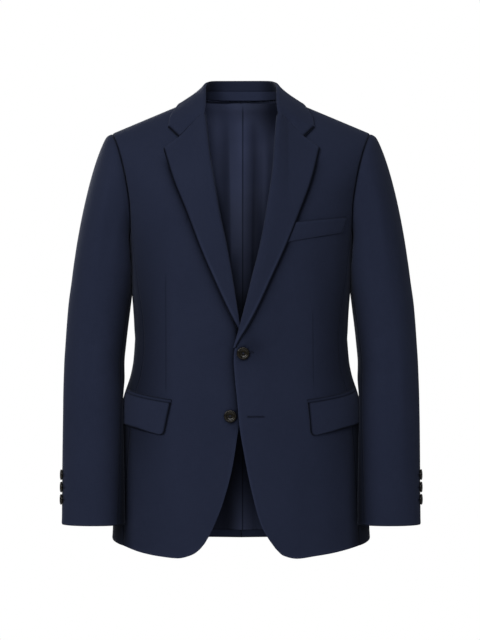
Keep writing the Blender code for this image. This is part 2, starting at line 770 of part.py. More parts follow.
def sleeve_column(column):
    """One line of points down the left sleeve, from the armhole to the cuff."""
    angle = 360 * column / SLEEVE_COLUMNS
    start = armhole_point(column)
    end = sleeve_tube(angle, FULL_RING_Z)
    rise = math.cos(math.radians(angle))
    leave = Vector((1.0, (start.y - RIDGE_Y) / CAP_SPREAD, -CAP_TILT * rise - CAP_DROOP)).normalized()
    reach = (end - start).length
    first = start + leave * (CAP_START + CAP_START_SIDE * (1 - rise * rise)) * reach
    below = sleeve_tube(angle, FULL_RING_Z - 20)
    arrive = (end - below).normalized()
    last = end + arrive * (CAP_END + CAP_END_TOP * rise) * reach
    points = [start + leave * SEAM_GAP, start + leave * SEAM_STRIP]
    for i in range(1, CAP_ROWS + 1):
        t = i / CAP_ROWS
        point = start * (1 - t) ** 3 + first * 3 * t * (1 - t) ** 2 + last * 3 * t * t * (1 - t) + end * t ** 3
        if point.z < start.z - ARMPIT_DROP:
            point.x = clear_of_side(point.x, point.y, point.z)
        points.append(point)
    for i in range(1, TUBE_ROWS + 1):
        t = i / TUBE_ROWS
        z = FULL_RING_Z + (CUFF_Z - FULL_RING_Z) * t
        points.append(sleeve_tube(angle + sleeve_twist(angle) * t, z))
    return points


def add_sleeves(collection):
    """Each sleeve of a top and an under piece."""
    spans = {
        "top": range(BACK_SEAM_COLUMN, FRONT_SEAM_COLUMN + 1),
        "under": range(FRONT_SEAM_COLUMN, SLEEVE_COLUMNS + BACK_SEAM_COLUMN + 1),
    }
    for side in (LEFT, RIGHT):
        label = side_name(side)
        for piece, span in spans.items():
            columns = seam_strips([sleeve_column(k) for k in span])
            rows = [list(row) for row in zip(*columns)]
            grid = [[Vector((side * p.x, p.y, p.z)) for p in row] for row in rows]
            grid = draw_in(grid, ("start", "end"), SEAM_GAP)
            name = f"sleeve_{piece}_{label}"
            wall(name, grid, wool(name), collection, flip=side == LEFT)


def seam_strips(columns):
    """The columns with a narrow strip beside the first and the last."""
    def between(a, b):
        return [p + (q - p) * SLEEVE_STRIP for p, q in zip(a, b)]

    return [columns[0], between(columns[0], columns[1])] + columns[1:-1] + [
        between(columns[-1], columns[-2]), columns[-1]]


# Hip pockets: turns of the flap's ends, height of its top edge, and its depth
FLAP_START = {LEFT: 109.0, RIGHT: 115.0}
FLAP_END_TURN = 76.0
FLAP_TOP_Z = -500.5
FLAP_RISE = 0.36
FLAP_DEPTH = 55.0
FLAP_END_DEPTH = 50.0
# How far the front edge of each flap leans back at its foot
FLAP_SLANT = {LEFT: 0.6, RIGHT: 2.8}
FLAP_COLUMNS = 6
FLAP_ROWS = (0.0, 0.5, 0.85, 1.0)
FLAP_CORNER = 6.0
FLAP_CORNER_TURN = 2.1
FLAP_CORNER_START = 0.8
FLAP_LIE = 2.8
FLAP_WALL = 1.8
JETTING_DEPTH = 5.0
JETTING_LIE = 1.9
JETTING_WALL = 1.2


def flap_turns(side):
    """Turns across a hip pocket, from its front end to its side end."""
    start = turn_at(FLAP_START[side], FLAP_TOP_Z)
    return [start + (FLAP_END_TURN - start) * i / FLAP_COLUMNS for i in range(FLAP_COLUMNS + 1)]


def flap_top(side, turn):
    """The height of a hip pocket's mouth, which climbs a little to the side."""
    return FLAP_TOP_Z + FLAP_RISE * (turn - turn_at(FLAP_START[side], FLAP_TOP_Z))


def add_hip_pockets(collection):
    """A flap and a jetting strip on each side."""
    for side in (LEFT, RIGHT):
        label = side_name(side)
        turns = flap_turns(side)
        rows = []
        for share in FLAP_ROWS:
            row = []
            corner = max(share - FLAP_CORNER_START, 0.0) / (1 - FLAP_CORNER_START)
            for i, turn in enumerate(turns):
                inset = FLAP_CORNER * corner if i in (0, FLAP_COLUMNS) else 0.0
                slide = FLAP_CORNER_TURN * {0: 1, FLAP_COLUMNS: -1}.get(i, 0) if share == 1.0 else 0.0
                slide += FLAP_SLANT[side] * share * (1 - i / FLAP_COLUMNS)
                depth = FLAP_DEPTH + (FLAP_END_DEPTH - FLAP_DEPTH) * i / FLAP_COLUMNS
                z = flap_top(side, turn) - depth * share + inset
                row.append(on_turn(side, turn + slide, z, FLAP_LIE))
            rows.append(row)
        wall(f"flap_{label}", rows[::-1], wool(f"flap_{label}"), collection, FLAP_WALL, flip=side == RIGHT)
        strip = [
            [on_turn(side, turn, flap_top(side, turn) + SEAM_GAP + JETTING_DEPTH * share, JETTING_LIE)
             for turn in turns]
            for share in (0.0, 1.0)
        ]
        name = f"jetting_{label}"
        wall(name, strip, wool(name), collection, JETTING_WALL, flip=side == RIGHT)


WELT_DEPTH = 27.0
WELT_LIE = 2.6
WELT_WALL = 1.5
WELT_COLUMNS = 5
WELT_END = (175.5, -192.5)
WELT_END_SLANT = 8.0
WELT_START_Z = -203.5
WELT_START_DROP = 7.0
LAPEL_MARGIN = 2.0


def lapel_edge_reach(z):
    """The reach of the left lapel's outer edge at a height."""
    low, high = 0.0, 1.0
    for _ in range(24):
        middle = (low + high) / 2
        low, high = (middle, high) if LAPEL_EDGE[LEFT].at(middle)[1] > z else (low, middle)
    return LAPEL_EDGE[LEFT].at(low)[0]


def add_breast_welt(collection):
    """The welt of the breast pocket, which runs in under the lapel."""
    rows = []
    for share in (1.0, 0.5, 0.0):
        start_z = WELT_START_Z - (WELT_DEPTH + WELT_START_DROP) * share
        end = (WELT_END[0] - WELT_END_SLANT * share, WELT_END[1] - WELT_DEPTH * share)
        start = (lapel_edge_reach(start_z) + LAPEL_MARGIN, start_z)
        row = []
        for i in range(WELT_COLUMNS + 1):
            t = i / WELT_COLUMNS
            row.append(on_front(LEFT, start[0] + (end[0] - start[0]) * t, start[1] + (end[1] - start[1]) * t,
                                WELT_LIE))
        rows.append(row)
    wall("breast_welt", rows, wool("breast_welt"), collection, WELT_WALL)


# The back lining: its clearance from the back, the hem it stops short of, and the folds of its ease
LINING_OFF = 6.0
LINING_LOW_OFF = 7.0
LINING_HEM_SHARE = 0.35
LINING_TOP_SHARE = 0.5
LINING_FOLD_COLUMNS = 3
# The folds are shallow at the hem, full between, and close again at the neck
FULLNESS_START = 0.12
FULLNESS_SPAN = 0.8
LINING_FOLDS = Table(
    "reach depth",
    (0, 4.5),
    (9, 1.0),
    (22, 4.2),
    (35, 0.8),
    (49, 3.6),
    (62, 0.6),
    (90, 2.0),
    (125, 0.0),
)


def thinned_rows(grid):
    """Every second line of points below the armhole, and all above it."""
    return grid[:BODY_ROWS:2] + grid[BODY_ROWS + 1 - BODY_ROWS % 2 :]


def lining_half():
    """The left half of the back lining, from the side seam to the centre, on the back's own lines."""
    outer, inner = (thinned_rows(back_grid(LEFT, height)) for height in (0.0, -1.0))
    last = len(outer) - 1
    half = []
    for i, (faces, insides) in enumerate(zip(outer, inner)):
        low_share = max(1 - 2 * i / last, 0.0)
        off = LINING_OFF + (LINING_LOW_OFF - LINING_OFF) * low_share
        row = [(face, inside - face) for face, inside in zip(faces, insides)]
        row = [row[0]] + row[2:-2] + [row[-1]]
        line = []
        for j, ((face, way), (next_face, next_way)) in enumerate(zip(row, row[1:])):
            count = LINING_FOLD_COLUMNS if j >= len(row) - 1 - NECK_COLUMNS else 1
            for k in range(count):
                line.append((face.lerp(next_face, k / count), way.lerp(next_way, k / count)))
        line.append(row[-1])
        fullness = math.sin(math.pi * (FULLNESS_START + FULLNESS_SPAN * i / last))
        half.append([face + way * (off + fullness * LINING_FOLDS.read("depth", face.x)) for face, way in line])
    half[0] = [a.lerp(b, LINING_HEM_SHARE / 2) for a, b in zip(half[0], half[1])]
    half[-1] = [a.lerp(b, LINING_TOP_SHARE) for a, b in zip(half[-1], half[-2])]
    return half


def add_back_lining(collection):
    """The lining of the back, from the neck and shoulder seams to just above the hem."""
    columns = [list(column) for column in zip(*lining_half())]
    rows = [list(row) for row in zip(*mirrored(columns))]
    wall("back_lining", rows, satin("back_lining"), collection, LINING, flip=True)


# A button's turned profile at a radius of 1: from its face's centre over the rim to the middle of its back
BUTTON_PROFILE = Table(
    "point radius height",
    (0, 0.0, 0.20),
    (1, 0.52, 0.21),
    (2, 0.72, 0.33),
    (3, 0.92, 0.34),
    (4, 1.0, 0.22),
    (5, 0.90, 0.06),
    (6, 0.55, 0.0),
    (7, 0.0, 0.0),
)
HOLE_RADIUS = 0.09
HOLE_REACH = 0.20
HOLE_SIDES = 8


def turned_button(name, radius, steps, collection):
    """A sew-through button standing on the plane of its own origin, its face up."""
    mesh = bpy.data.meshes.new(name)
    shape = bmesh.new()
    radii, heights = BUTTON_PROFILE.values["radius"], BUTTON_PROFILE.values["height"]
    corners = [shape.verts.new((r * radius * MM, 0, h * radius * MM)) for r, h in zip(radii, heights)]
    for a, b in zip(corners, corners[1:]):
        shape.edges.new((a, b))
    shape.to_mesh(mesh)
    shape.free()
    mesh.materials.append(horn(name))
    button = bpy.data.objects.new(name, mesh)
    collection.objects.link(button)
    screw = button.modifiers.new("turn", "SCREW")
    screw.steps = steps
    screw.render_steps = steps
    screw.use_merge_vertices = True
    screw.merge_threshold = 0.00001
    screw.use_normal_calculate = True
    return button


def drill(button, radius, cutters):
    """Four thread holes through a button."""
    shape = bmesh.new()
    hole, reach = HOLE_RADIUS * radius * MM, HOLE_REACH * radius * MM
    for quarter in range(4):
        angle = math.radians(45 + 90 * quarter)
        made = bmesh.ops.create_cone(shape, cap_ends=True, segments=HOLE_SIDES, radius1=hole, radius2=hole,
                                     depth=radius * MM)
        place = (reach * math.cos(angle), reach * math.sin(angle), 0)
        bmesh.ops.translate(shape, verts=made["verts"], vec=place)
    mesh = bpy.data.meshes.new(button.name + "_holes")
    shape.to_mesh(mesh)
    shape.free()
    cutter = bpy.data.objects.new(button.name + "_holes", mesh)
    cutter.hide_render = True
    cutter.display_type = "WIRE"
    cutter.parent = button
    cutters.objects.link(cutter)
    cut = button.modifiers.new("holes", "BOOLEAN")
    cut.operation = "DIFFERENCE"
    cut.object = cutter


def add_button(name, place, facing, radius, steps, collection, cutters):
    """A button with its back at a place and its face turned a way."""
    button = turned_button(name, radius, steps, collection)
    button.location = place * MM
    button.rotation_mode = "QUATERNION"
    button.rotation_quaternion = facing.to_track_quat("Z", "Y")
    drill(button, radius, cutters)


FRONT_BUTTONS = {"button_front_top": (LEFT, 3.3, -418.7), "button_front_low": (RIGHT, 18.0, -522.0)}
FRONT_BUTTON_SEAT = 0.8
CUFF_BUTTON_SEAT = 1.8
CUFF_BUTTON_ANGLE = 12.0
CUFF_BUTTON_Z = (-623.5, -644.0, -664.5)


def add_buttons(collection, cutters):
    """Two buttons at the front and three on each cuff."""
    for name, (side, reach, z) in FRONT_BUTTONS.items():
        place = on_front(side, reach, z, FRONT_BUTTON_SEAT)
        facing = place - on_front(side, reach, z)
        add_button(name, place, facing, FRONT_BUTTON / 2, FRONT_BUTTON_STEPS, collection, cutters)
    for side in (LEFT, RIGHT):
        for i, z in enumerate(CUFF_BUTTON_Z, 1):
            on_sleeve = sleeve_tube(CUFF_BUTTON_ANGLE, z)
            out = -normal_at(sleeve_tube, CUFF_BUTTON_ANGLE, z)
            place = on_sleeve + out * CUFF_BUTTON_SEAT
            place.x *= side
            out.x *= side
            name = f"button_cuff_{side_name(side)}_{i}"
            add_button(name, place, out, CUFF_BUTTON / 2, CUFF_BUTTON_STEPS, collection, cutters)


def main():
    for thing in list(bpy.data.objects):
        bpy.data.objects.remove(thing)
    blazer = bpy.data.collections.new("single_breasted_blazer")
    cutters = bpy.data.collections.new("cutters")
    bpy.context.scene.collection.children.link(blazer)
    bpy.context.scene.collection.children.link(cutters)
    add_body(blazer)
    add_lapels(blazer)
    add_collar(blazer)
    add_sleeves(blazer)
    add_hip_pockets(blazer)
    add_breast_welt(blazer)
    add_back_lining(blazer)
    add_buttons(blazer, cutters)


main()
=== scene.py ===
"""The looks of a single breasted blazer on its CAD frame: cloth, lining, buttons and sewing.

+Z is up, the front faces -Y, and the wearer's left is +X. Sizes are in millimetres and MM turns them to metres.
Cloth is worked out on the wearer's left half, where a place is given by its reach from the middle plane and its
height z, or by its turn round the body from centre front (0) by the side (90) to centre back (180). A piece of
the right half is its mirror image. A grid is an array of points, its rows up the cloth and its columns across.
"""

import math

import bmesh
import bpy
import numpy as np
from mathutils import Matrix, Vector


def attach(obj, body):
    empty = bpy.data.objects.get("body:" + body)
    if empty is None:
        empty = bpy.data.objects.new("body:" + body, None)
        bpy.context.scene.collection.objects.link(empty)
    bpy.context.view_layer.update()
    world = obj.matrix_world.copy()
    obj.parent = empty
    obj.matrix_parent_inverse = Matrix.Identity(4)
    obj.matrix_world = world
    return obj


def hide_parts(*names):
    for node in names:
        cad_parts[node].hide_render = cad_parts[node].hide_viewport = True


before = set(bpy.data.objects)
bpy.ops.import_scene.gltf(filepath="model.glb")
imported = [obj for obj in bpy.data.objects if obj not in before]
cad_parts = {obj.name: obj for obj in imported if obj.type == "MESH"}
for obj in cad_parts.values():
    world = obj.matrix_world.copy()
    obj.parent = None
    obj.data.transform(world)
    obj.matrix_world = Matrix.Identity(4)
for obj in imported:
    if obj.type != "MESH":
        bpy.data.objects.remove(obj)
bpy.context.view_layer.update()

MM = 0.001
LEFT = 1
RIGHT = -1
SIDES = {LEFT: "left", RIGHT: "right"}


# ---------------- smooth tables and curves

def steady_slopes(keys, values):
    """Slopes that keep a curve through the values from swinging past them."""
    steps = np.diff(values) / np.diff(keys)
    product, total = steps[:-1] * steps[1:], steps[:-1] + steps[1:]
    inner = np.where(product > 0, 2 * product / np.where(total == 0, 1, total), 0.0)
    return np.concatenate([steps[:1], inner, steps[-1:]])


def numbers(text):
    """Rows of numbers from text, one to a line or parted by semicolons."""
    return [[float(word) for word in row.split()] for row in text.replace(";", "\n").splitlines() if row.strip()]


class Table:
    """Sizes in named columns against a rising first column, read between the rows by a smooth curve."""

    def __init__(self, columns, rows):
        data = np.array(numbers(rows) if isinstance(rows, str) else rows, float)
        self.keys = data[:, 0]
        self.values = {name: data[:, i] for i, name in enumerate(columns.split())}
        self.slopes = {name: steady_slopes(self.keys, column) for name, column in self.values.items()}

    def read(self, name, key):
        keys, values, slopes = self.keys, self.values[name], self.slopes[name]
        key = np.clip(key, keys[0], keys[-1])
        i = np.clip(np.searchsorted(keys, key, side="right") - 1, 0, len(keys) - 2)
        span = keys[i + 1] - keys[i]
        t = (key - keys[i]) / span
        ease = t * t * (3 - 2 * t)
        bend = slopes[i] * t * (1 - t) ** 2 - slopes[i + 1] * t * t * (1 - t)
        return values[i] + (values[i + 1] - values[i]) * ease + span * bend


class Curve:
    """A smooth curve through points, read by the fraction of its length."""

    def __init__(self, points):
        points = np.array(numbers(points) if isinstance(points, str) else points, float)
        lengths = np.concatenate([[0.0], np.cumsum([math.dist(a, b) for a, b in zip(points, points[1:])])])
        self.length = lengths[-1]
        self.table = Table("length a b", np.column_stack([lengths, points]))

    def at(self, fraction):
        distance = np.asarray(fraction, float) * self.length
        return np.stack([self.table.read(name, distance) for name in "ab"], -1)


def smooth(t):
    t = np.clip(t, 0.0, 1.0)
    return t * t * (3 - 2 * t)


def unit(vectors):
    return vectors / np.maximum(np.linalg.norm(vectors, axis=-1, keepdims=True), 1e-9)


# ---------------- the body's form, as in the part's source

NECK_REACH = 76.0
NECK_HEIGHT = 13.3
NECK_RISE = 60.0
SHOULDER_SLOPE = 0.42
SHOULDER_REACH = 219.0
RIDGE_Y = 6.0
BACK_NECK_HEIGHT = 16.0
BACK_NECK_POWER = 1.6
FRONT_NECK = (67.5, -8.0)
ROUND_POWER = 0.58
GIRTH_POWER = 2.3

# The body's girth at each height, and how far below the shoulder its front and back round off
TORSO = Table("z half_width front_depth back_depth", """
    -760 220 115.5 114.5
    -700 217 114.5 112
    -650 214 113.5 110
    -600 211 113 107
    -550 206.5 112 103
    -500 200.8 110 98
    -455 187.2 108.5 94
    -430 182.8 108 92.5
    -395 180.4 108 92
    -364 181.2 109 95
    -300 186 115 104
    -235 190 119 113
    -150 206 115 117
    -60 234 99 102
    -40 242 95 96
    20 248 90 75
""")
SHOULDER_ROUND = Table("reach front back", """
    0 215 84
    76 210 88
    150 150 98
    219 66 70
""")
SIDE_SEAMS = Table("z front_turn back_turn", "-760 62 118; -420 62 116; -212 73 111")
FRONT_SEAM_TURN, BACK_SEAM_TURN = (SIDE_SEAMS.values[name][0] for name in ("front_turn", "back_turn"))
ARMHOLE_FRONT_Z = -212.0
ARMHOLE_BACK_Z = -205.0
ARMHOLE_LOW_Z = -235.0

# The left front laps over the right one: how far it stands off the body at centre front
LAP = Table("z lift", "-760 0; -620 0.8; -550 3.2; -470 3.8; -420 5.2; -330 5.2; -250 0; 20 0")
LAP_FULL_REACH = 22.0
LAP_END_REACH = 78.0

# The edges of the two fronts and their lapels as the photo shows them, by reach and height
FRONT_EDGE = {
    LEFT: Curve("""
        56.4 -739.5; 41.6 -718; 31.5 -697; 16.9 -644.4; 3.6 -578; -3.3 -534.5; -6.8 -495; -10.8 -454; -12.3 -428;
        -10.8 -411.6
    """),
    RIGHT: Curve("""
        60 -731; 52.5 -718.2; 38.9 -687.8; 30 -664; 15.4 -610; 10.3 -580.4; 3.3 -534.5; -5.5 -495; -10.5 -454;
        -12.3 -428; -11.5 -412
    """),
}
ROLL_LINE = {
    LEFT: Curve("""
        -10.8 -411.6; -0.6 -375.5; 10.4 -333; 19.4 -296; 29.8 -256; 39 -212; 46.8 -165; 54.2 -115; 58 -68;
        60.4 -42; 62.4 -22
    """),
    RIGHT: Curve("""
        -11.5 -412; 4 -374; 10 -338; 19 -281; 28 -232; 36 -196; 47.2 -132; 53.8 -92; 59.6 -44; 62.4 -22
    """),
}
FRONT_HEM = {
    LEFT: Curve("56.4 -739.5; 69.5 -751; 92 -756.3; 121.9 -753; 148.7 -749.6; 174.3 -744.8; 196.3 -739.5"),
    RIGHT: Curve("60 -731; 68 -740.5; 81.3 -750; 105.2 -756; 138.6 -753.4; 166.5 -749.1; 196.3 -741.5"),
}
SIDE_HEM = Table("turn z", "62 -740.5; 90 -734; 118 -737; 150 -744; 180 -746.5")
LAPEL_EDGE = {
    LEFT: Curve("""
        130.5 -79; 115.2 -136; 95.4 -188; 73 -243.6; 48.2 -298.4; 19 -360.7; 8.2 -380.5; -3.6 -400.2; -8 -409
    """),
    RIGHT: Curve("129 -80; 110.8 -135.9; 89.3 -188; 66.5 -247.6; 44 -300; 23 -346; 7 -378"),
}
# Where each lapel starts along its roll line, and how much of its top edge the gorge seam takes up
LAPEL_FOOT = {LEFT: 0.004, RIGHT: 0.092}
GORGE_SHARE = 0.62
# A full roll in section: how far its points lie out over the front from the roll line, and how high
ROLL = Table("point out up", """
    0 -2.8 -2
    1 -2.8 1
    2 -1.6 3.8
    3 2.5 5.4
    4 9 5.8
""")
ROLL_FLAT = 2.6
ROLL_FULL_WIDTH = 26.0
ROLL_FILLING = 2.2
LAPEL_LIE = 4.4


def ridge_height(reach):
    """The height of the shoulder seam, which rises under the collar to where the neck would be."""
    reach = np.abs(reach)
    under_collar = NECK_HEIGHT + NECK_RISE * (1 - (reach / NECK_REACH) ** 2)
    return np.where(reach < NECK_REACH, under_collar, NECK_HEIGHT - SHOULDER_SLOPE * (reach - NECK_REACH))


def torso(turn, z):
    """The outer face of the left half of the body, at turns and heights."""
    turn, z = np.broadcast_arrays(np.asarray(turn, float), np.asarray(z, float))
    sine, cosine = np.sin(np.radians(turn)), np.cos(np.radians(turn))
    front = cosine >= 0
    reach = TORSO.read("half_width", z) * np.sign(sine) * np.abs(sine) ** (2 / GIRTH_POWER)
    depth = np.where(front, TORSO.read("front_depth", z), TORSO.read("back_depth", z))
    depth = depth * np.abs(cosine) ** (2 / GIRTH_POWER)
    wide = np.abs(reach)
    fall = np.where(front, SHOULDER_ROUND.read("front", wide), SHOULDER_ROUND.read("back", wide))
    share = np.minimum(np.maximum(ridge_height(reach) - z, 0.0) / fall, 1.0)
    rounding = (1 - (1 - share) ** 2) ** ROUND_POWER
    return np.stack([reach, RIDGE_Y + (np.where(front, -depth, depth) - RIDGE_Y) * rounding, z], -1)


def turn_at(reach, z, back=False):
    """The turn at which the torso has this reach."""
    reach = np.asarray(reach, float)
    share = np.minimum(np.abs(reach) / TORSO.read("half_width", z), 1.0)
    turn = np.degrees(np.arcsin(share ** (GIRTH_POWER / 2)))
    return 180 - turn if back else np.copysign(turn, reach)


def lap_lift(side, reach, z):
    """How far the left front stands off the torso, over the right front."""
    if side == RIGHT:
        return np.zeros(np.shape(reach))
    return LAP.read("lift", z) * (1 - smooth((reach - LAP_FULL_REACH) / (LAP_END_REACH - LAP_FULL_REACH)))


def normal_at(surface, a, b, step=0.5):
    """The outward unit normal of a surface of two values."""
    return unit(np.cross(surface(a + step, b) - surface(a - step, b), surface(a, b + step) - surface(a, b - step)))


def on_turn(side, turn, z, height=0.0):
    """Points on the body by their turn, raised off the cloth's outer face by a height."""
    points = torso(turn, z)
    lift = np.where(np.abs(turn) < 90, lap_lift(side, points[..., 0], points[..., 2]), 0.0) + height
    return points + normal_at(torso, turn, z) * lift[..., None]


def on_front(side, reach, z, height=0.0):
    """Points on a front by their reach."""
    return on_turn(side, turn_at(reach, z), np.asarray(z, float), height)


# ---------------- grids of cloth

FINE = 1.0
STRIPS = (0.0, 0.5, 1.1, 1.9, 3.2, 5.2)
# How much of a panel's outer edge lies below the armhole, and how its rows close up towards the shoulder
LOW_SHARE = 0.70
ARMHOLE_EASE = 1.25


def spread(count, length, start=True, end=True):
    """About this many fractions of a length, even but for narrow strips beside the ends with a seam or an edge."""
    strips = np.array(STRIPS) / length
    inner = np.linspace(0, 1, max(int(count * FINE), 4) + 1)[1:-1]
    inner = inner[(inner > strips[-1] * 1.4) & (inner < 1 - strips[-1] * 1.4)]
    return np.concatenate([strips if start else [0.0], inner, 1 - strips[::-1] if end else [1.0]])


def patch(rows, columns, bottom, top, start, end):
    """Turns and heights between four edges, each a function of its fractions."""
    u, v = np.asarray(columns)[None, :, None], np.asarray(rows)[:, None, None]
    corner = np.array([0.0, 1.0])
    (c0, c1), (c2, c3) = bottom(corner), top(corner)
    sides = (1 - v) * bottom(columns)[None] + v * top(columns)[None]
    ends = (1 - u) * start(rows)[:, None] + u * end(rows)[:, None]
    return sides + ends - (1 - v) * ((1 - u) * c0 + u * c1) - v * ((1 - u) * c2 + u * c3)


def pairs(turn, z):
    return np.stack(np.broadcast_arrays(turn, z), -1)


def grid_normals(grid):
    """Outward unit normals of a grid, from its neighbours."""
    return unit(np.cross(np.gradient(grid, axis=1), np.gradient(grid, axis=0)))


def run(grid, axis):
    """The distance along the grid's columns (axis 1) or rows (axis 0), from the first point."""
    steps = np.linalg.norm(np.diff(grid, axis=axis), axis=-1)
    return np.concatenate([np.zeros_like(np.take(steps, [0], axis)), np.cumsum(steps, axis)], axis)


def edge_distance(grid, edge):
    """How far each point lies from the named edge."""
    axis = 1 if edge in ("start", "end") else 0
    length = run(grid, axis)
    return np.take(length, [-1], axis) - length if edge in ("end", "top") else length


def beside(grid, edges, width, away=0.0):
    """A band along the edges: 1 at its middle, which lies a way off the edge, and 0 well outside it."""
    return sum(np.exp(-(((edge_distance(grid, edge) - away) / width) ** 2)) for edge in edges)


def held(relief, grid, **widths):
    """The relief, fading out over these widths towards the edges they are named after."""
    for edge, width in widths.items():
        relief = relief * smooth(edge_distance(grid, edge) / width)
    return relief


def creases(rows, across, z):
    """Soft troughs and ridges, each a row: the place across and the height where it starts and where it ends, its
    bow, its width and how far it rises."""
    relief = np.zeros(np.shape(z))
    for ax, az, bx, bz, bow, width, rise in rows:
        length = math.hypot(bx - ax, bz - az)
        along = ((across - ax) * (bx - ax) + (z - az) * (bz - az)) / length ** 2
        off = ((across - ax) * (bz - az) - (z - az) * (bx - ax)) / length + bow * along * (1 - along) * 4
        fade = np.where((along > 0) & (along < 1), np.sin(np.pi * np.clip(along, 0, 1)) ** 1.3, 0.0)
        relief = relief + rise * fade * np.exp(-((off / width) ** 2))
    return relief


def unevenness(across, z, amount, seed):
    """The slow, slight waves that any cloth has."""
    turn = seed * 1.7
    wave = np.sin(across / 31 + z / 83 + turn) + 0.7 * np.sin(across / 17 - z / 61 + 2.1 * turn)
    return amount * (wave + 0.6 * np.sin(across / 47 + z / 29 + 3.3 * turn)) / 2.3


def sewn(grid, edges, depth, width, dark):
    """Relief and shade of a seam: the cloth turns in there, and the groove lies in its own shadow."""
    line = beside(grid, edges, width)
    return -depth * line, dark * line


def free(grid, edges, depth=0.5, dark=0.5, width=1.0, away=0.0):
    """Relief and painted shade of a pressed edge: it turns in, and the cloth beside it is fuller and has a painted
    highlight.
    """
    fuller = beside(grid, edges, 1.8, 3.4)
    line = beside(grid, edges, width, away)
    return 0.25 * fuller - depth * line, dark * line - EDGE_GLEAM * fuller


def hem_mark(grid, turned=40.0):
    """The faint line where the turned-up hem ends inside."""
    return -HEM_MARK * beside(grid, ("bottom",), 2.5, turned), 0.0


def either(where, a, b):
    """One line of relief and shade in some places and another elsewhere."""
    return [np.where(where, one, other) for one, other in zip(a, b)]


def finished(grid, relief, *lines, shade=0.0):
    """The grid moved along its normals by its relief and by the lines of its seams and edges, and its shade, which
    is how dark it is at each point."""
    relief = np.asarray(relief + sum(line[0] for line in lines))
    return grid + grid_normals(grid) * relief[..., None], shade + sum(line[1] for line in lines) + 0 * grid[..., 0]


# ---------------- body panels

SHOULDER_TIP = (SHOULDER_REACH, float(ridge_height(SHOULDER_REACH)))


def turns_along(curve, back=False):
    """Turns and heights along a curve of reaches and heights, as a function of the fraction of its length."""
    def edge(fraction):
        reach, z = np.moveaxis(curve.at(fraction), -1, 0)
        return pairs(turn_at(reach, z, back), z)
    return edge


def armhole_edge(seam, foot_z, points, back):
    """An edge of the armhole from the top of a side seam up to the shoulder's tip."""
    foot = torso(SIDE_SEAMS.read(seam, foot_z), foot_z)[0], foot_z
    return turns_along(Curve([foot, *numbers(points), SHOULDER_TIP]), back)


armhole_front = armhole_edge("front_turn", ARMHOLE_FRONT_Z, "186.5 -175; 193 -128; 202 -90; 210.5 -65", False)
armhole_back = armhole_edge("back_turn", ARMHOLE_BACK_Z, "189 -165; 197 -120; 205 -85; 212 -64", True)


def armhole_low(fraction):
    """The foot of the armhole across the side body, from its front seam to its back seam."""
    fraction = np.asarray(fraction, float)
    front = SIDE_SEAMS.read("front_turn", ARMHOLE_FRONT_Z)
    back = SIDE_SEAMS.read("back_turn", ARMHOLE_BACK_Z)
    level = ARMHOLE_FRONT_Z + (ARMHOLE_BACK_Z - ARMHOLE_FRONT_Z) * fraction
    sag = (ARMHOLE_LOW_Z - (ARMHOLE_FRONT_Z + ARMHOLE_BACK_Z) / 2) * 4 * fraction * (1 - fraction)
    return pairs(front + (back - front) * fraction, level + sag)


def shoulder_seam(fraction, back=False):
    reach = NECK_REACH + (SHOULDER_REACH - NECK_REACH) * fraction
    z = ridge_height(reach)
    return pairs(turn_at(reach, z, back), z)


def side_seam(which, fraction):
    """A seam of the side body, from the hem up to the armhole."""
    low = SIDE_HEM.read("z", FRONT_SEAM_TURN if which == "front_turn" else BACK_SEAM_TURN)
    high = ARMHOLE_FRONT_Z if which == "front_turn" else ARMHOLE_BACK_Z
    z = low + (high - low) * np.asarray(fraction, float)
    return pairs(SIDE_SEAMS.read(which, z), z)


def in_turn(share, first, second):
    """An edge that follows one function over this share of its length, and another over the rest."""
    def edge(fraction):
        fraction = np.asarray(fraction, float)
        low, high = first(np.clip(fraction / share, 0, 1)), second(np.clip((fraction - share) / (1 - share), 0, 1))
        return np.where((fraction <= share)[..., None], low, high)
    return edge


def panel_outer_edge(which, armhole):
    """A panel's edge along the side body and then along the armhole."""
    return in_turn(LOW_SHARE, lambda v: side_seam(which, v), armhole)


def body_rows(low_count, high_count):
    """Fractions up a panel, even below the armhole and closer along it."""
    low = spread(low_count, 530, end=False) * LOW_SHARE
    high = 1 - (1 - spread(high_count, 120, start=False)) ** ARMHOLE_EASE
    return np.concatenate([low, LOW_SHARE + (1 - LOW_SHARE) * high[1:]])


def hem_turns(first, last):
    """The hem of the side or the back, from one turn to another."""
    def hem(u):
        turn = first + (last - first) * np.asarray(u, float)
        return pairs(turn, SIDE_HEM.read("z", turn))
    return hem


def front_turns(side, rows, columns):
    """Turns and heights of a forepart."""
    edge, roll, hem_line = FRONT_EDGE[side], ROLL_LINE[side], turns_along(FRONT_HEM[side])
    neckline = Curve([roll.at(1.0), FRONT_NECK, (NECK_REACH, NECK_HEIGHT)])

    def hem(u):
        miss = side_seam("front_turn", 0.0) - hem_line(1.0)
        return hem_line(u) + miss * np.asarray(u, float)[..., None] ** 6

    front_edge = in_turn(edge.length / (edge.length + roll.length), turns_along(edge), turns_along(roll))
    top = in_turn(FRONT_NECK_SHARE, turns_along(neckline), shoulder_seam)
    return patch(rows, columns, hem, top, front_edge, panel_outer_edge("front_turn", armhole_front))


def side_turns(rows, columns):
    """Turns and heights of a side body."""
    return patch(rows, columns, hem_turns(FRONT_SEAM_TURN, BACK_SEAM_TURN), armhole_low,
                 lambda v: side_seam("front_turn", v), lambda v: side_seam("back_turn", v))


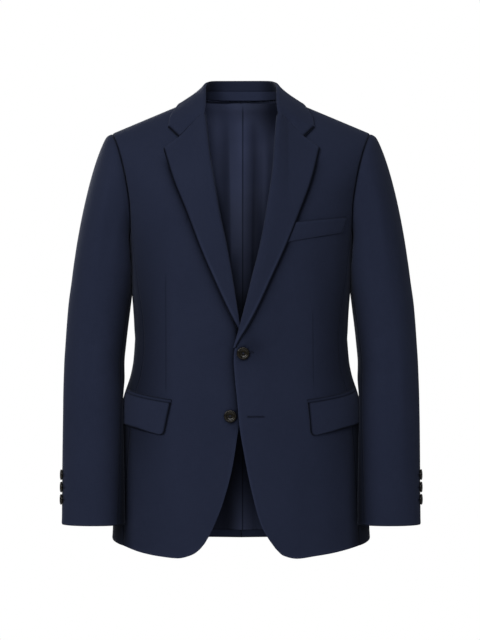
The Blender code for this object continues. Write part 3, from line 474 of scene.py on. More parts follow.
def back_turns(rows, columns):
    """Turns and heights of a half of the back, from the side to the centre."""
    def neck(share):
        z = NECK_HEIGHT + (BACK_NECK_HEIGHT - NECK_HEIGHT) * share
        return pairs(turn_at(NECK_REACH * (1 - share ** BACK_NECK_POWER), NECK_HEIGHT, back=True), z)

    def centre(v):
        low = SIDE_HEM.read("z", 180)
        return pairs(180.0, low + (BACK_NECK_HEIGHT - low) * np.asarray(v, float))

    top = in_turn(BACK_SHOULDER_SHARE, lambda u: shoulder_seam(1 - u, back=True), neck)
    hem = hem_turns(BACK_SEAM_TURN, 180)
    return patch(rows, columns, hem, top, panel_outer_edge("back_turn", armhole_back), centre)


FRONT_NECK_SHARE = 2 / 7
BACK_SHOULDER_SHARE = 5 / 7
# Creases of the fronts by reach and height: pulls at the button, the chest's drape and the skirt's soft folds
FRONT_CREASES = {
    LEFT: numbers("""
        10 -424 78 -398 3 7 -0.7
        12 -410 70 -370 -4 8 0.6
        14 -434 92 -446 -3 9 -0.6
        150 -235 164 -420 8 12 1
        128 -160 150 -330 -6 15 -0.9
        60 -560 92 -735 6 20 1
        120 -560 135 -735 -8 17 -1.1
        168 -555 178 -735 4 12 1
        96 -470 132 -400 4 12 0.5
    """),
    RIGHT: numbers("""
        6 -422 84 -402 -3 7 -0.8
        10 -432 96 -452 4 9 0.6
        8 -408 66 -366 5 8 -0.5
        148 -230 163 -415 -7 12 1.1
        122 -150 148 -330 6 15 -0.8
        70 -565 98 -735 -6 19 1
        128 -560 140 -735 7 17 -1
        170 -560 180 -735 -4 12 1
        90 -470 128 -398 -4 12 0.5
    """),
}
# Creases of the side bodies by distance round the body and height, and of the backs by reach and height
SIDE_CREASES = numbers("""
    12 -250 30 -430 5 9 -1
    70 -245 58 -440 -6 10 1.1
    36 -410 84 -380 3 7 -0.7
    26 -520 34 -725 4 12 1
    82 -520 74 -725 -4 12 -0.9
""")
BACK_CREASES = numbers("""
    176 -120 150 -400 10 11 1.5
    154 -110 132 -380 -8 12 -1.2
    168 -400 96 -372 5 8 -0.9
    158 -430 84 -404 -5 8 0.8
    28 -20 84 -64 4 9 -0.8
    20 -42 60 -92 -4 9 0.6
    52 -420 62 -740 -8 20 -1.2
    112 -440 122 -740 8 18 1.3
    18 -400 26 -740 4 13 0.7
""")
HEM_MARK = 0.12
# How strong the painted highlight is on the fuller cloth beside a pressed edge
EDGE_GLEAM = 0.10
# How deep, wide and dark each seam is
ARMHOLE_SEAM = (0.9, 1.5, 0.75)
FRONT_SEAM = (0.4, 1.0, 0.2)
SHOULDER_SEAM = (0.6, 1.0, 0.3)
SIDE_SEAM = (0.5, 1.0, 0.3)
BACK_SEAM = (0.7, 1.1, 0.35)
# How deep the pressed edge of a front is, how dark its line is, here below zero for a painted highlight, and how wide
FRONT_EDGE_LINE = (0.4, -0.30, 1.6)
# How dark the body's side and the part of it behind the sleeve's edge are, at each height
SIDE_SHADE = Table("z side sleeve", """
    -760 0.12 0.75; -650 0.16 0.8; -560 0.4 0.85; -470 0.6 0.85; -430 0.62 0.3; -370 0.62 0; -330 0.5 0.6;
    -260 0.25 0.85; -215 0.1 0.6; -180 0 0
""")
SIDE_SHADE_SHARE = {LEFT: 0.75, RIGHT: 1.0}
# The shadow of a front button on the cloth: how far it falls sideways and down, and how far it reaches past the rim
BUTTON_CAST = (-0.8, -0.6, 2.6)
BUTTON_SHADE = 0.6
# The middle and half size of the painted shade where the cloth is pulled by the upper button
PULL = (17.0, -408.0, 20.0, 24.0)
PULL_SHADE = 0.32
# The shadows of the left front on the right one and of a lapel on its front: how dark and how wide they are, and
# the heights where they start and end, each with how fast
LAP_SHADE = 0.88
LAP_SHADE_WIDTH = 6.5
LAP_SHADE_SPAN = (-575, 40, -345, 30)
LAPEL_SHADE = 0.88
LAPEL_SHADE_WIDTH = 6.0
LAPEL_SHADE_SPAN = (-405, 30, -85, 30)
CAMERA_HEIGHT = -364.0


def beside_sleeve(grid, side):
    """How dark the body is towards its side and where the sleeve hangs over it."""
    reach, z = np.abs(grid[..., 0]), grid[..., 2]
    round_side = SIDE_SHADE.read("side", z) * np.clip((reach - 112) / 62, 0, 1) * SIDE_SHADE_SHARE[side]
    behind = SIDE_SHADE.read("sleeve", z) * smooth((reach - 176) / 20)
    return 1 - (1 - round_side) * (1 - behind)


def reach_of(z, *curves, scale=1.0):
    """The reach at heights of a line of curves, which looks larger by the scale where it is nearer the camera."""
    line = np.concatenate([curve.at(np.linspace(0, 1, 200)) for curve in curves]) * scale
    line[:, 1] += CAMERA_HEIGHT * (1 - scale)
    line = line[np.argsort(line[:, 1])]
    return np.interp(z, line[:, 1], line[:, 0])


def between(z, low, low_fade, high, high_fade):
    return smooth((z - low) / low_fade) * smooth((high - z) / high_fade)


def under_lap(across, z):
    """How dark the right front is beside the edge of the left one, which lies over it."""
    beyond = np.maximum(across + reach_of(z, FRONT_EDGE[LEFT], ROLL_LINE[LEFT]), 0)
    return LAP_SHADE * np.exp(-beyond / LAP_SHADE_WIDTH) * between(z, *LAP_SHADE_SPAN)


def under_lapel(side, across, z):
    """How dark a front is beside the edge of the lapel that lies on it."""
    beyond = np.maximum(across - reach_of(z, LAPEL_EDGE[side]), 0)
    return LAPEL_SHADE * np.exp(-beyond / LAPEL_SHADE_WIDTH) * between(z, *LAPEL_SHADE_SPAN)


def front_grid(side):
    turns = front_turns(side, body_rows(90, 46), spread(52, 200))
    grid = on_turn(side, turns[..., 0], turns[..., 1])
    across, z = grid[..., 0], grid[..., 2]
    relief = creases(FRONT_CREASES[side], across, z) + unevenness(across, z, 0.30, side)
    relief = held(relief, grid, start=40, end=25, top=30)
    outer = either(z > ARMHOLE_FRONT_Z, sewn(grid, ("end",), *ARMHOLE_SEAM), sewn(grid, ("end",), *FRONT_SEAM))
    shade = beside_sleeve(grid, side) + under_lapel(side, across, z)
    for button_side, reach, height in FRONT_BUTTONS.values():
        if button_side == side:
            off = np.hypot(across - reach - BUTTON_CAST[0], z - height - BUTTON_CAST[1])
            shade = shade + BUTTON_SHADE * smooth((FRONT_BUTTON / 2 + BUTTON_CAST[2] - off) / 3.5)
    if side == LEFT:
        pull = ((across - PULL[0]) / PULL[2]) ** 2 + ((z - PULL[1]) / PULL[3]) ** 2
        shade = shade + PULL_SHADE * np.exp(-pull)
    else:
        shade = shade + under_lap(across, z)
    return finished(grid, relief, outer, sewn(grid, ("top",), *SHOULDER_SEAM),
                    free(grid, ("start", "bottom"), *FRONT_EDGE_LINE), hem_mark(grid), shade=shade)


def side_grid(side):
    turns = side_turns(spread(96, 510), spread(26, 100))
    grid = on_turn(side, turns[..., 0], turns[..., 1])
    across, z = run(grid, 1), grid[..., 2]
    relief = creases(SIDE_CREASES, across, z) + unevenness(across, z, 0.35, side + 3)
    return finished(grid, held(relief, grid, start=20, end=20), sewn(grid, ("start", "end"), *SIDE_SEAM),
                    sewn(grid, ("top",), *ARMHOLE_SEAM), free(grid, ("bottom",)), hem_mark(grid),
                    shade=beside_sleeve(grid, side))


def back_grid(side):
    turns = back_turns(body_rows(90, 46), spread(50, 190))
    grid = on_turn(side, turns[..., 0], turns[..., 1])
    across, z = grid[..., 0], grid[..., 2]
    relief = creases(BACK_CREASES, across, z) + unevenness(across, z, 0.35, side + 6)
    relief = held(relief, grid, start=18, end=14, top=10)
    return finished(grid, relief, sewn(grid, ("start", "end", "top"), *BACK_SEAM), free(grid, ("bottom",)),
                    hem_mark(grid), shade=beside_sleeve(grid, side))


# ---------------- lapels and collar

GORGE_BOW = 3.2
GORGE_BOW_AT = 55.0
GORGE_BOW_WIDTH = 22.0
GORGE_SEAM = (0.4, 0.8, 0.15)
NOTCH_EDGE = (0.5, 0.1)
ROLL_END_SLOPE = 0.04
ROLL_STEPS = 14
LAPEL_STEPS = 26
# How deep, dark and wide the line beside a lapel's or the collar's edge is, and how far in
LAPEL_LINE = (0.8, 0.97, 2.4, 0.9)
COLLAR_TIP_LINE = (0.8, 1.0, 2.4, 1.6)
COLLAR_LINE = (0.8, 0.3)
# How strong and wide the painted highlight along a lapel's outer edge is, and how far in it lies
LAPEL_GLEAM = 0.38
LAPEL_GLEAM_WIDTH = 2.4
LAPEL_GLEAM_IN = 4.0
COLLAR = Table("station fold_x fold_y fold_z edge_x edge_z edge_back lie neck_x neck_y neck_z", """
    1 59.8 -50.5 -9 122.5 -42.5 0 3.4 64 -44 -14
    2 59.3 -38 4 120.5 -27 0 3.6 67.5 -35.5 -4
    3 59.4 -20 19.6 113.5 -12 0 3 72 -14 9.5
    4 59.8 0 31.2 105.5 0.6 0 2.6 73.5 6 15.5
    5 59 20 39.4 98 0 1 3.2 71 26 15
    6 56 40 46 86 -3 1 4.2 64 42 15.5
    7 48 57 49.5 67 0 1 3.8 50 55 15.8
    8 28 70 51.3 40 3 1 3.6 28 63.5 16
    9 0 74 51.8 0 5 1 3.6 0 66.5 16.3
""")
STATIONS = 9
FOLD_HALF = 2.5
FOLD_DROP = 3.2
STAND_SHARE = 0.52
STAND_FOOT_IN = 3.2
STAND_MIDDLE_Y = 10.0
COLLAR_BULGE = 0.2
FALL_SHARES = (0.12, 0.34, 0.56, 0.78, 1.0)
GORGE_SHARES = (0.3, 0.55, 0.8, 1.0)
COLLAR_CRISP_FROM = 0.55
# How deep, wide and dark the seams at the collar's ends and foot are, and those at its stand's foot and top
COLLAR_SEAM = (0.3, 0.8, 0.15)
COLLAR_FOOT_SEAM = (0.3, 0.8, 0.5)
STAND_FOOT_SEAM = (0.2, 0.8, 0.2)
STAND_TOP_SEAM = (0.2, 0.8, 0.5)
# How dark the inside of the neck is across it, towards its two ends
NECK_SHADE = Table("x dark", "-70 0.45; -50 0.3; -38 0.18; -26 0.04; 0 0; 28 0.06; 38 0.26; 48 0.46; 70 0.7")
COLLAR_INSIDE = 0.18
COLLAR_FOLD_SHARE = 0.22
STAND_LIGHT = -0.15


def roll_section(side, roll_share, end, fall, steps, shares, fullness=1.0):
    """A cloth that rolls over a front's edge and lies back on it as far as the end: an array of points, some at steps
    of the roll and some at shares of the flat part.

    The fall is 1 where the roll is full and 0 where it is pressed flat."""
    roll = ROLL_LINE[side]
    start, end = roll.at(roll_share), np.asarray(end, float)
    along = roll.at(min(roll_share + 0.01, 1.0)) - roll.at(roll_share - 0.01)
    away = unit(np.array([along[1], -along[0]]))
    width = math.dist(end, start)
    out = (end - start) / width
    squeeze = min(1.0, width / ROLL_FULL_WIDTH)
    reach, up = ROLL.read("out", steps), ROLL.read("up", steps)
    up = up + np.clip(steps - 1, 0, 1) * ((ROLL_FLAT + (up - ROLL_FLAT) * fall) - up)
    reach = np.where(reach > 0, reach * squeeze, reach)
    tail = ROLL.values["out"][-1] * squeeze
    top = ROLL_FLAT + (ROLL.values["up"][-1] - ROLL_FLAT) * fall
    lie = min(top, LAPEL_LIE)
    places = np.concatenate([start + np.where((reach < 0)[:, None], away, out) * reach[:, None],
                             start + out * (tail + (width - tail) * shares)[:, None]])
    bow = GORGE_BOW * np.exp(-(((np.linalg.norm(places - start, axis=1) - GORGE_BOW_AT) / GORGE_BOW_WIDTH) ** 2))
    places[:, 1] -= bow * smooth((roll_share - 0.75) / 0.25)
    fuller = fullness * (ROLL_END_SLOPE * (width - tail) + 2 * (top - lie)) * shares * (1 - shares) ** 6
    heights = np.concatenate([up, lie + (top - lie) * (1 - shares) ** 2 + fuller])
    return on_front(side, places[:, 0], places[:, 1], heights)


def lapel_grid(side):
    """A lapel from the foot of its roll line up to the gorge seam."""
    foot = LAPEL_FOOT[side]
    steps = np.linspace(0, ROLL.keys[-1], max(int(ROLL_STEPS * FINE), 6))
    flat = spread(LAPEL_STEPS, 80, start=False)[1:]
    grid = np.stack([roll_section(side, foot + (1 - foot) * share, LAPEL_EDGE[side].at(1 - share),
                                  min(1.0, ROLL_FILLING * share), steps, flat) for share in spread(96, 400)])
    across, z = grid[..., 0], grid[..., 2]
    relief = held(unevenness(across, z, 0.22, side + 9), grid, end=14)
    sewn_share = run(grid, 1) / run(grid, 1)[:, -1:] < GORGE_SHARE
    top = either(sewn_share, sewn(grid, ("top",), *GORGE_SEAM), free(grid, ("top",), *NOTCH_EDGE))
    shade = -LAPEL_GLEAM * beside(grid, ("end",), LAPEL_GLEAM_WIDTH, LAPEL_GLEAM_IN) * smooth((-150 - z) / 130)
    if side == RIGHT:
        shade = shade + under_lap(across, z)
    return finished(grid, relief, top, free(grid, ("end",), *LAPEL_LINE), shade=shade)


def clear_of_torso(point, clearance):
    """The point, moved off the torso where it lies closer to it than the clearance."""
    if ridge_height(point[0]) + clearance <= point[2]:
        return point
    back = point[1] > RIDGE_Y
    z = min(point[2], ridge_height(point[0]) - 0.2)
    skin = torso(turn_at(abs(point[0]), z, back), z)
    limit = skin[1] + clearance if back else skin[1] - clearance
    return np.array([point[0], max(point[1], limit) if back else min(point[1], limit), point[2]])


def collar_section(station):
    """The collar across its fold, from inside the neck over the fold to the outer edge, and its place at the neck."""
    def place(name, at):
        return np.array([float(COLLAR.read(f"{name}_{axis}", at)) for axis in "xyz"])

    fold, neck = place("fold", station), place("neck", station)
    reach, z, lie = (float(COLLAR.read(name, station)) for name in ("edge_x", "edge_z", "lie"))
    if z >= ridge_height(reach) - 0.3:
        edge = np.array([reach, RIDGE_Y, float(ridge_height(reach)) + lie])
    else:
        turn = turn_at(reach, z, COLLAR.read("edge_back", station) > 0.5)
        edge = torso(turn, z) + normal_at(torso, turn, z) * lie
    fall = unit(edge - fold)
    out = unit(np.cross(fall, place("fold", min(station + 0.05, STATIONS)) - place("fold", station - 0.05)))
    if station >= STATIONS:
        out[0] = 0.0
    inside, outside = fold + fall * FOLD_DROP - out * FOLD_HALF, fold + fall * FOLD_DROP + out * FOLD_HALF
    points = [neck + (inside - neck) * STAND_SHARE, inside, fold, outside]
    for share in FALL_SHARES:
        point = outside + (edge - outside) * share + out * COLLAR_BULGE * math.sin(math.pi * share)
        points.append(clear_of_torso(point, lie) if share < 1 else point)
    return np.stack(points), neck


def mirrored(rows):
    """Both halves of a grid that is symmetric about the middle plane, its last row being on it."""
    return np.concatenate([rows, (rows[:-1] * [-1, 1, 1])[::-1]])


def through(lines, places):
    """Points at places along a smooth run of lines of points, one a whole number."""
    flat = lines.reshape(len(lines), -1)
    names = [f"c{i}" for i in range(flat.shape[1])]
    table = Table(" ".join(["place"] + names), np.column_stack([np.arange(len(flat)), flat]))
    values = np.stack([table.read(name, places) for name in names], -1)
    return values.reshape(len(places), *lines.shape[1:])


def finer_columns(grid, columns):
    """The grid with columns at fractions of a smooth run through its own."""
    lines = np.moveaxis(grid, 1, 0)
    return np.moveaxis(through(lines, columns * (len(lines) - 1)), 0, 1)


def collar_grid():
    """The collar and its fall, from one gorge seam round the neck to the other."""
    tip, start = LAPEL_EDGE[LEFT].at(0.0), ROLL_LINE[LEFT].at(1.0)
    first = roll_section(LEFT, 1.0, start + (tip - start) * GORGE_SHARE, 1.0, ROLL.keys, np.array(GORGE_SHARES), 0.0)
    coarse = mirrored(np.stack([first] + [collar_section(station)[0] for station in range(1, STATIONS + 1)]))
    last, end, columns = len(coarse) - 1, spread(10, 28), spread(40, 75)
    places = np.concatenate([end, 1 + (last - 2) * spread(110, 420)[1:-1], last - 1 + end])
    inner = through(coarse[1:-1], np.clip(places - 1, 0, last - 2))
    t = places[:, None, None]
    crisp = np.where(t < 1, coarse[0] * (1 - t) + coarse[1] * t,
                     np.where(t > last - 1, coarse[-2] * (last - t) + coarse[-1] * (t - last + 1), inner))
    share = smooth((np.linspace(0, 1, coarse.shape[1]) - COLLAR_CRISP_FROM) / (1 - COLLAR_CRISP_FROM))[None, :, None]
    grid = finer_columns(through(coarse, places) * (1 - share) + crisp * share, columns)
    relief = unevenness(run(grid, 0), run(grid, 1), 0.15, 12)
    at_tip = ((places < 1.02) | (places > last - 1.02))[:, None]
    edge = either(at_tip, free(grid, ("end",), *COLLAR_TIP_LINE), free(grid, ("end",), *COLLAR_LINE))
    inside = smooth((COLLAR_FOLD_SHARE - columns) / 0.07)[None, :]
    return finished(grid, relief, edge, sewn(grid, ("bottom", "top"), *COLLAR_SEAM),
                    sewn(grid, ("start",), *COLLAR_FOOT_SEAM),
                    shade=(NECK_SHADE.read("dark", grid[..., 0]) + COLLAR_INSIDE) * inside)


def stand_grid():
    """The band inside the collar, below its fold."""
    band = []
    for station in range(2, STATIONS + 1):
        points, neck = collar_section(station)
        inward = unit(np.array([-neck[0], STAND_MIDDLE_Y - neck[1], 0.0])) * STAND_FOOT_IN
        band.append([neck + (points[0] - neck) * share + inward * (1 - share) for share in (0.0, 0.5, 1.02)])
    band = mirrored(np.array(band))
    grid = finer_columns(through(band, spread(90, 260) * (len(band) - 1)), spread(8, 20))
    return finished(grid, 0.0, sewn(grid, ("start",), *STAND_FOOT_SEAM), sewn(grid, ("end",), *STAND_TOP_SEAM),
                    shade=NECK_SHADE.read("dark", grid[..., 0]) + STAND_LIGHT)


# ---------------- sleeves

# The height of the first full ring of the sleeve, just below the armhole, and of its cuff
FULL_RING_Z = -262.0
CUFF_Z = -704.0
SLEEVE_POWER = 2.15
SLEEVE_EASE = 3.0
SLEEVE_PROUD = 1.8
SLEEVE = Table("z outer inner half_depth middle_y clearance", """
    -711 297.5 193 37 -60 4.5
    -612 297.5 194 44 -50 6
    -500 298 195.5 51 -26 6.7
    -437 297 199.2 55 -12 4
    -405 295.5 196.8 57 -6 2.6
    -340 291.5 189 61 0 2.4
    -300 286.5 181 63.5 2 2.4
    -262 281.5 175 66 4 2.4
    -235 276 178 67 5 2.4
""")
ARMHOLE_COLUMNS = 7
SIDE_COLUMNS = 4
SLEEVE_COLUMNS = 2 * ARMHOLE_COLUMNS + SIDE_COLUMNS
# The first and last column of each piece, and its number of columns of points
SLEEVE_SPANS = {"top": (-2, 8, 46), "under": (8, 16, 36)}
CUFF_TWIST = 22.0
SEAM_SWING = 24.0
BACK_SEAM_ANGLE = -40.0
ARMPIT_DROP = 1.0
# How the sleeve's head leaves the armhole and comes down to the first full ring
CAP_SPREAD = 150.0
CAP_DROOP = 0.05
CAP_TILT = 0.3
CAP_START = 0.10
CAP_START_SIDE = 0.12
CAP_END = 0.35
CAP_END_TOP = 0.1
CAP_CLEAR_RISE = 0.5
CAP_CLEAR_DROP = 6.0
CUFF_HEM = 38.0
VENT_Z = -598.0
HEAD_SWELL = 0.6
HEAD_SWELL_IN = 9.0
# How deep, wide and dark the sleeve's seams are: along it, where a vent opens, and round its head
SLEEVE_SEAM = (0.5, 1.1, 0.15)
VENT_SEAM = (1.0, 1.5, 0.7)
HEAD_SEAM = (1.2, 1.8, 0.8)
CUFF_BUTTON_SHADE = 0.85
# Creases of the sleeves by the angle round them, a millimetre a degree, and height: the sleeve head's drape,
# the elbow's breaks on the inner side, and long soft folds down the arm
SLEEVE_CREASES = numbers("""
    60 -110 78 -300 6 10 1.4
    104 -150 96 -330 -6 9 -1.3
    36 -120 44 -420 -8 15 -0.9
    64 -300 70 -690 7 14 1.1
    98 -330 92 -560 -6 11 -1
    132 -400 88 -372 5 8 -1.4
    140 -428 84 -412 -4 8 1.3
    136 -452 78 -452 4 8 -1.2
    20 -300 26 -640 -5 14 0.8
    -40 -120 -30 -420 8 13 1.3
    -62 -160 -54 -360 -6 11 -1.3
    -30 -420 -38 -690 6 13 -0.9
    214 -300 226 -520 6 14 1.2
    252 -250 262 -560 -8 15 -1.3
    286 -300 290 -620 7 13 1.2
    196 -560 206 -700 4 12 -0.9
""")


def clear_of_side(x, y, z):
    """A reach kept clear of the side of the body, easing off it."""
    depth = np.where(y < 0, TORSO.read("front_depth", z), TORSO.read("back_depth", z))
    share = np.maximum(1 - (np.abs(y) / depth) ** GIRTH_POWER, 0.0)
    limit = TORSO.read("half_width", z) * share ** (1 / GIRTH_POWER) + SLEEVE.read("clearance", z)
    return limit + SLEEVE_EASE * np.log1p(np.exp(np.minimum((x - limit) / SLEEVE_EASE, 50.0)))


def sleeve_twist(angle):
    """How far a line along the sleeve turns round it by the cuff: the back seam swings out to the buttons."""
    from_seam = np.maximum(np.cos(np.radians(angle - BACK_SEAM_ANGLE)), 0.0)
    return SEAM_SWING * from_seam ** 4 - CUFF_TWIST * np.sin(np.radians(angle / 2)) ** 2


def sleeve_tube(angle, z):
    """The left sleeve below the armpit: 0 is the outer edge, 90 the front and 180 the inner edge."""
    angle, z = np.broadcast_arrays(np.asarray(angle, float), np.asarray(z, float))
    outer, inner = SLEEVE.read("outer", z), SLEEVE.read("inner", z)
    cosine, sine = np.cos(np.radians(angle)), np.sin(np.radians(angle))
    across = np.sign(cosine) * np.abs(cosine) ** (2 / SLEEVE_POWER)
    along = np.sign(sine) * np.abs(sine) ** (2 / SLEEVE_POWER)
    y = SLEEVE.read("middle_y", z) - SLEEVE.read("half_depth", z) * along
    x = (outer + inner) / 2 + (outer - inner) / 2 * across
    return np.stack([clear_of_side(x, y, z), y, z], -1)


def armhole_points(column):
    """The left armhole's points in order, from the shoulder by the front and the foot to the back."""
    column = np.mod(column, SLEEVE_COLUMNS)

    def eased(i):
        return 1 - (1 - np.clip(i / ARMHOLE_COLUMNS, 0, 1)) ** ARMHOLE_EASE

    front = armhole_front(eased(ARMHOLE_COLUMNS - column))
    low = armhole_low(np.clip((column - ARMHOLE_COLUMNS) / SIDE_COLUMNS, 0, 1))
    back = armhole_back(eased(column - ARMHOLE_COLUMNS - SIDE_COLUMNS))
    place = np.where((column <= ARMHOLE_COLUMNS)[:, None], front,
                     np.where((column <= ARMHOLE_COLUMNS + SIDE_COLUMNS)[:, None], low, back))
    return torso(place[:, 0], place[:, 1])


def sleeve_surface(columns, cap_shares, tube_shares):
    """The sleeve's form: rows down from the armhole to the cuff, at columns round it, and the columns' angles."""
    angle = 360 * columns / SLEEVE_COLUMNS
    start, end = armhole_points(columns), sleeve_tube(angle, FULL_RING_Z)
    rise = np.cos(np.radians(angle))
    opening = (start[:, 1] - RIDGE_Y) / CAP_SPREAD
    leave = unit(np.stack([np.ones_like(rise), opening, -CAP_TILT * rise - CAP_DROOP], -1))
    reach = np.linalg.norm(end - start, axis=-1)[:, None]
    first = start + leave * (CAP_START + CAP_START_SIDE * (1 - rise * rise))[:, None] * reach
    arrive = unit(end - sleeve_tube(angle, FULL_RING_Z - 20))
    last = end + arrive * (CAP_END + CAP_END_TOP * rise)[:, None] * reach
    rows = []
    below_shoulder = smooth((CAP_CLEAR_RISE - rise) / CAP_CLEAR_RISE)
    for t in cap_shares:
        row = start * (1 - t) ** 3 + first * 3 * t * (1 - t) ** 2 + last * 3 * t * t * (1 - t) + end * t ** 3
        hang = smooth((start[:, 2] - row[:, 2] - ARMPIT_DROP) / CAP_CLEAR_DROP)
        clear = clear_of_side(row[:, 0], row[:, 1], row[:, 2])
        row[:, 0] += (clear - row[:, 0]) * hang * np.maximum(below_shoulder, smooth(t))
        rows.append(row)
    for t in tube_shares:
        rows.append(sleeve_tube(angle + sleeve_twist(angle) * t, FULL_RING_Z + (CUFF_Z - FULL_RING_Z) * t))
    return np.stack(rows), angle


def sleeve_grid(side, piece):
    first, last, count = SLEEVE_SPANS[piece]
    columns = first + (last - first) * spread(count, 180)
    rows, angle = sleeve_surface(columns, spread(34, 160, end=False), spread(96, 442, start=False)[1:])
    grid = rows[::-1, ::-1]
    z = grid[..., 2]
    angle = np.broadcast_to(angle[::-1], z.shape)
    outward = np.cos(np.radians(angle))
    from_head = edge_distance(grid, "top")
    relief = creases(SLEEVE_CREASES, angle, z) + unevenness(angle, z, 0.4, side + 15)
    relief = held(relief, grid, top=35, start=14, end=14)
    swell = np.exp(-(((from_head - HEAD_SWELL_IN) / HEAD_SWELL_IN) ** 2))
    relief = relief + HEAD_SWELL * swell * np.clip(outward, 0, 1) + SLEEVE_PROUD * smooth(from_head / 12)
    inner = np.clip(-outward, 0, 1)
    shade = (0.35 * inner ** 3 + 0.62 * inner ** 8) * smooth((-180 - z) / 60)
    for height in CUFF_BUTTON_Z:
        off = np.hypot((angle + sleeve_twist(angle) - CUFF_BUTTON_ANGLE) * 0.85, z - height)
        shade = np.maximum(shade, CUFF_BUTTON_SHADE * smooth((CUFF_BUTTON * 0.68 - off) / 4))
    vent = smooth((VENT_Z - z) / 8) * (outward > 0)
    closed, opened = (sewn(grid, ("start", "end"), *seam) for seam in (SLEEVE_SEAM, VENT_SEAM))
    seams = [a + (b - a) * vent for a, b in zip(closed, opened)]
    return finished(grid, relief, seams, sewn(grid, ("top",), *HEAD_SEAM), free(grid, ("bottom",)),
                    hem_mark(grid, CUFF_HEM), shade=shade)


# ---------------- pockets

FLAP_START = {LEFT: 109.0, RIGHT: 115.0}
FLAP_END_TURN = 76.0
FLAP_TOP_Z = -500.5
FLAP_RISE = 0.36
FLAP_DEPTH = 55.0
FLAP_END_DEPTH = 50.0
# How far the front edge of each flap leans back at its foot
FLAP_SLANT = {LEFT: 0.6, RIGHT: 2.8}
FLAP_CORNER = 6.5
FLAP_LIE = 4.0
FLAP_BELLY = 0.8
FLAP_EDGE = (0.6, 0.95, 2.2, 0.9)
FLAP_SEAM = (0.5, 1.3, 0.75)
# A jetting in section, from its hidden seam down behind, round its fold and up to the seam that shows
JETTING = Curve("5.2 0.2; 2.5 0.3; 0.2 0.4; -0.4 0.9; 0.2 1.5; 2.2 2; 4.2 1.8; 5.3 0.7")
JETTING_FOOT = (0.0, 2.2, 0.9)
JETTING_ENDS = (0.0, 0.8, 0.4)
WELT_DEPTH = 27.0
WELT_LIE = 1.6
WELT_PROUD = 0.9
WELT_END = (175.5, -192.5)
WELT_END_SLANT = 8.0
WELT_START_Z = -203.5
WELT_START_DROP = 7.0
WELT_UNDER = 4.0
WELT_SEAM = (0.8, 1.0, 0.5)
WELT_EDGE = (0.7, 0.6)


def flap_start(side):
    return float(turn_at(FLAP_START[side], FLAP_TOP_Z))


def pocket_line(side, turn):
    """The height of a hip pocket's mouth, which climbs a little to the side."""
    return FLAP_TOP_Z + FLAP_RISE * (turn - flap_start(side))


def flap_grid(side):
    """A pocket flap, its lower corners rounded, bellied a little and turned in at its edges."""
    start = flap_start(side)
    columns, rows = spread(40, 92), spread(26, 49)
    width = np.linalg.norm(np.diff(on_turn(side, np.array([start, FLAP_END_TURN]), FLAP_TOP_Z), axis=0))
    points = []
    for up in rows:
        low = np.clip((FLAP_CORNER - up * FLAP_DEPTH) / FLAP_CORNER, 0, 1)
        inset = FLAP_CORNER / width * (1 - math.sqrt(max(1 - low * low, 0.0)))
        share = inset + columns * (1 - 2 * inset)
        turn = start + (FLAP_END_TURN - start) * share + FLAP_SLANT[side] * (1 - up) * (1 - share)
        z = pocket_line(side, turn) - (FLAP_DEPTH + (FLAP_END_DEPTH - FLAP_DEPTH) * share) * (1 - up)
        points.append(on_turn(side, turn, z, FLAP_LIE))
    grid = np.stack(points)
    belly = FLAP_BELLY * np.sin(np.pi * np.clip(rows, 0, 1))[:, None] * np.sin(np.pi * columns)[None]
    return finished(grid, belly + unevenness(run(grid, 1), grid[..., 2], 0.12, 20),
                    free(grid, ("start", "end", "bottom"), *FLAP_EDGE), sewn(grid, ("top",), *FLAP_SEAM))


def jetting_grid(side):
    """The narrow folded strip above a flap."""
    start = flap_start(side)
    turn = start + (FLAP_END_TURN - start) * spread(40, 92)
    up, height = np.moveaxis(JETTING.at(np.linspace(0, 1, 25))[:, None], -1, 0)
    z = pocket_line(side, turn)[None] + up
    grid = on_turn(side, np.broadcast_to(turn, z.shape), z, height)
    return finished(grid, 0.0, sewn(grid, ("top",), *JETTING_FOOT), sewn(grid, ("start", "end"), *JETTING_ENDS))


def welt_grid():
    """The welt of the breast pocket, which runs in under the lapel."""
    columns, rows = spread(36, 95), spread(18, 27)
    points = []
    for up in rows:
        start_z = WELT_START_Z - (WELT_DEPTH + WELT_START_DROP) * (1 - up)
        end = (WELT_END[0] - WELT_END_SLANT * (1 - up), WELT_END[1] - WELT_DEPTH * (1 - up))
        start = reach_of(start_z, LAPEL_EDGE[LEFT]) - WELT_UNDER
        reach = start + (end[0] - start) * columns
        points.append(on_front(LEFT, reach, start_z + (end[1] - start_z) * columns, WELT_LIE))
    grid = np.stack(points)
    lie = WELT_PROUD * smooth(rows / 0.3)[:, None]
    return finished(grid, lie, sewn(grid, ("end", "bottom"), *WELT_SEAM), free(grid, ("top",), *WELT_EDGE))


# ---------------- lining

LINING_OFF = 6.0
LINING_LOW_OFF = 7.0
LINING_TOP_OFF = 2.3
LINING_TOP_RISE = 4.0
NECK_HALF = 74.0
LINING_SPAN = (0.0188, 0.9985)
FULLNESS_START = 0.12
FULLNESS_SPAN = 0.8
# How far the lining's folds stand in from the back, by their place from the wearer's right to the left
LINING_FOLDS = Table("place depth", """
    -125 0; -90 2; -64 0.6; -46 3.4; -26 0.4; -10 4.4; 3 2; 11 4.6; 24 0.4; 38 4.2; 52 0.6; 70 2.8; 92 0.8; 125 0
""")
FOLD_SHADE = 0.17
FOLD_LEVEL = 2.0
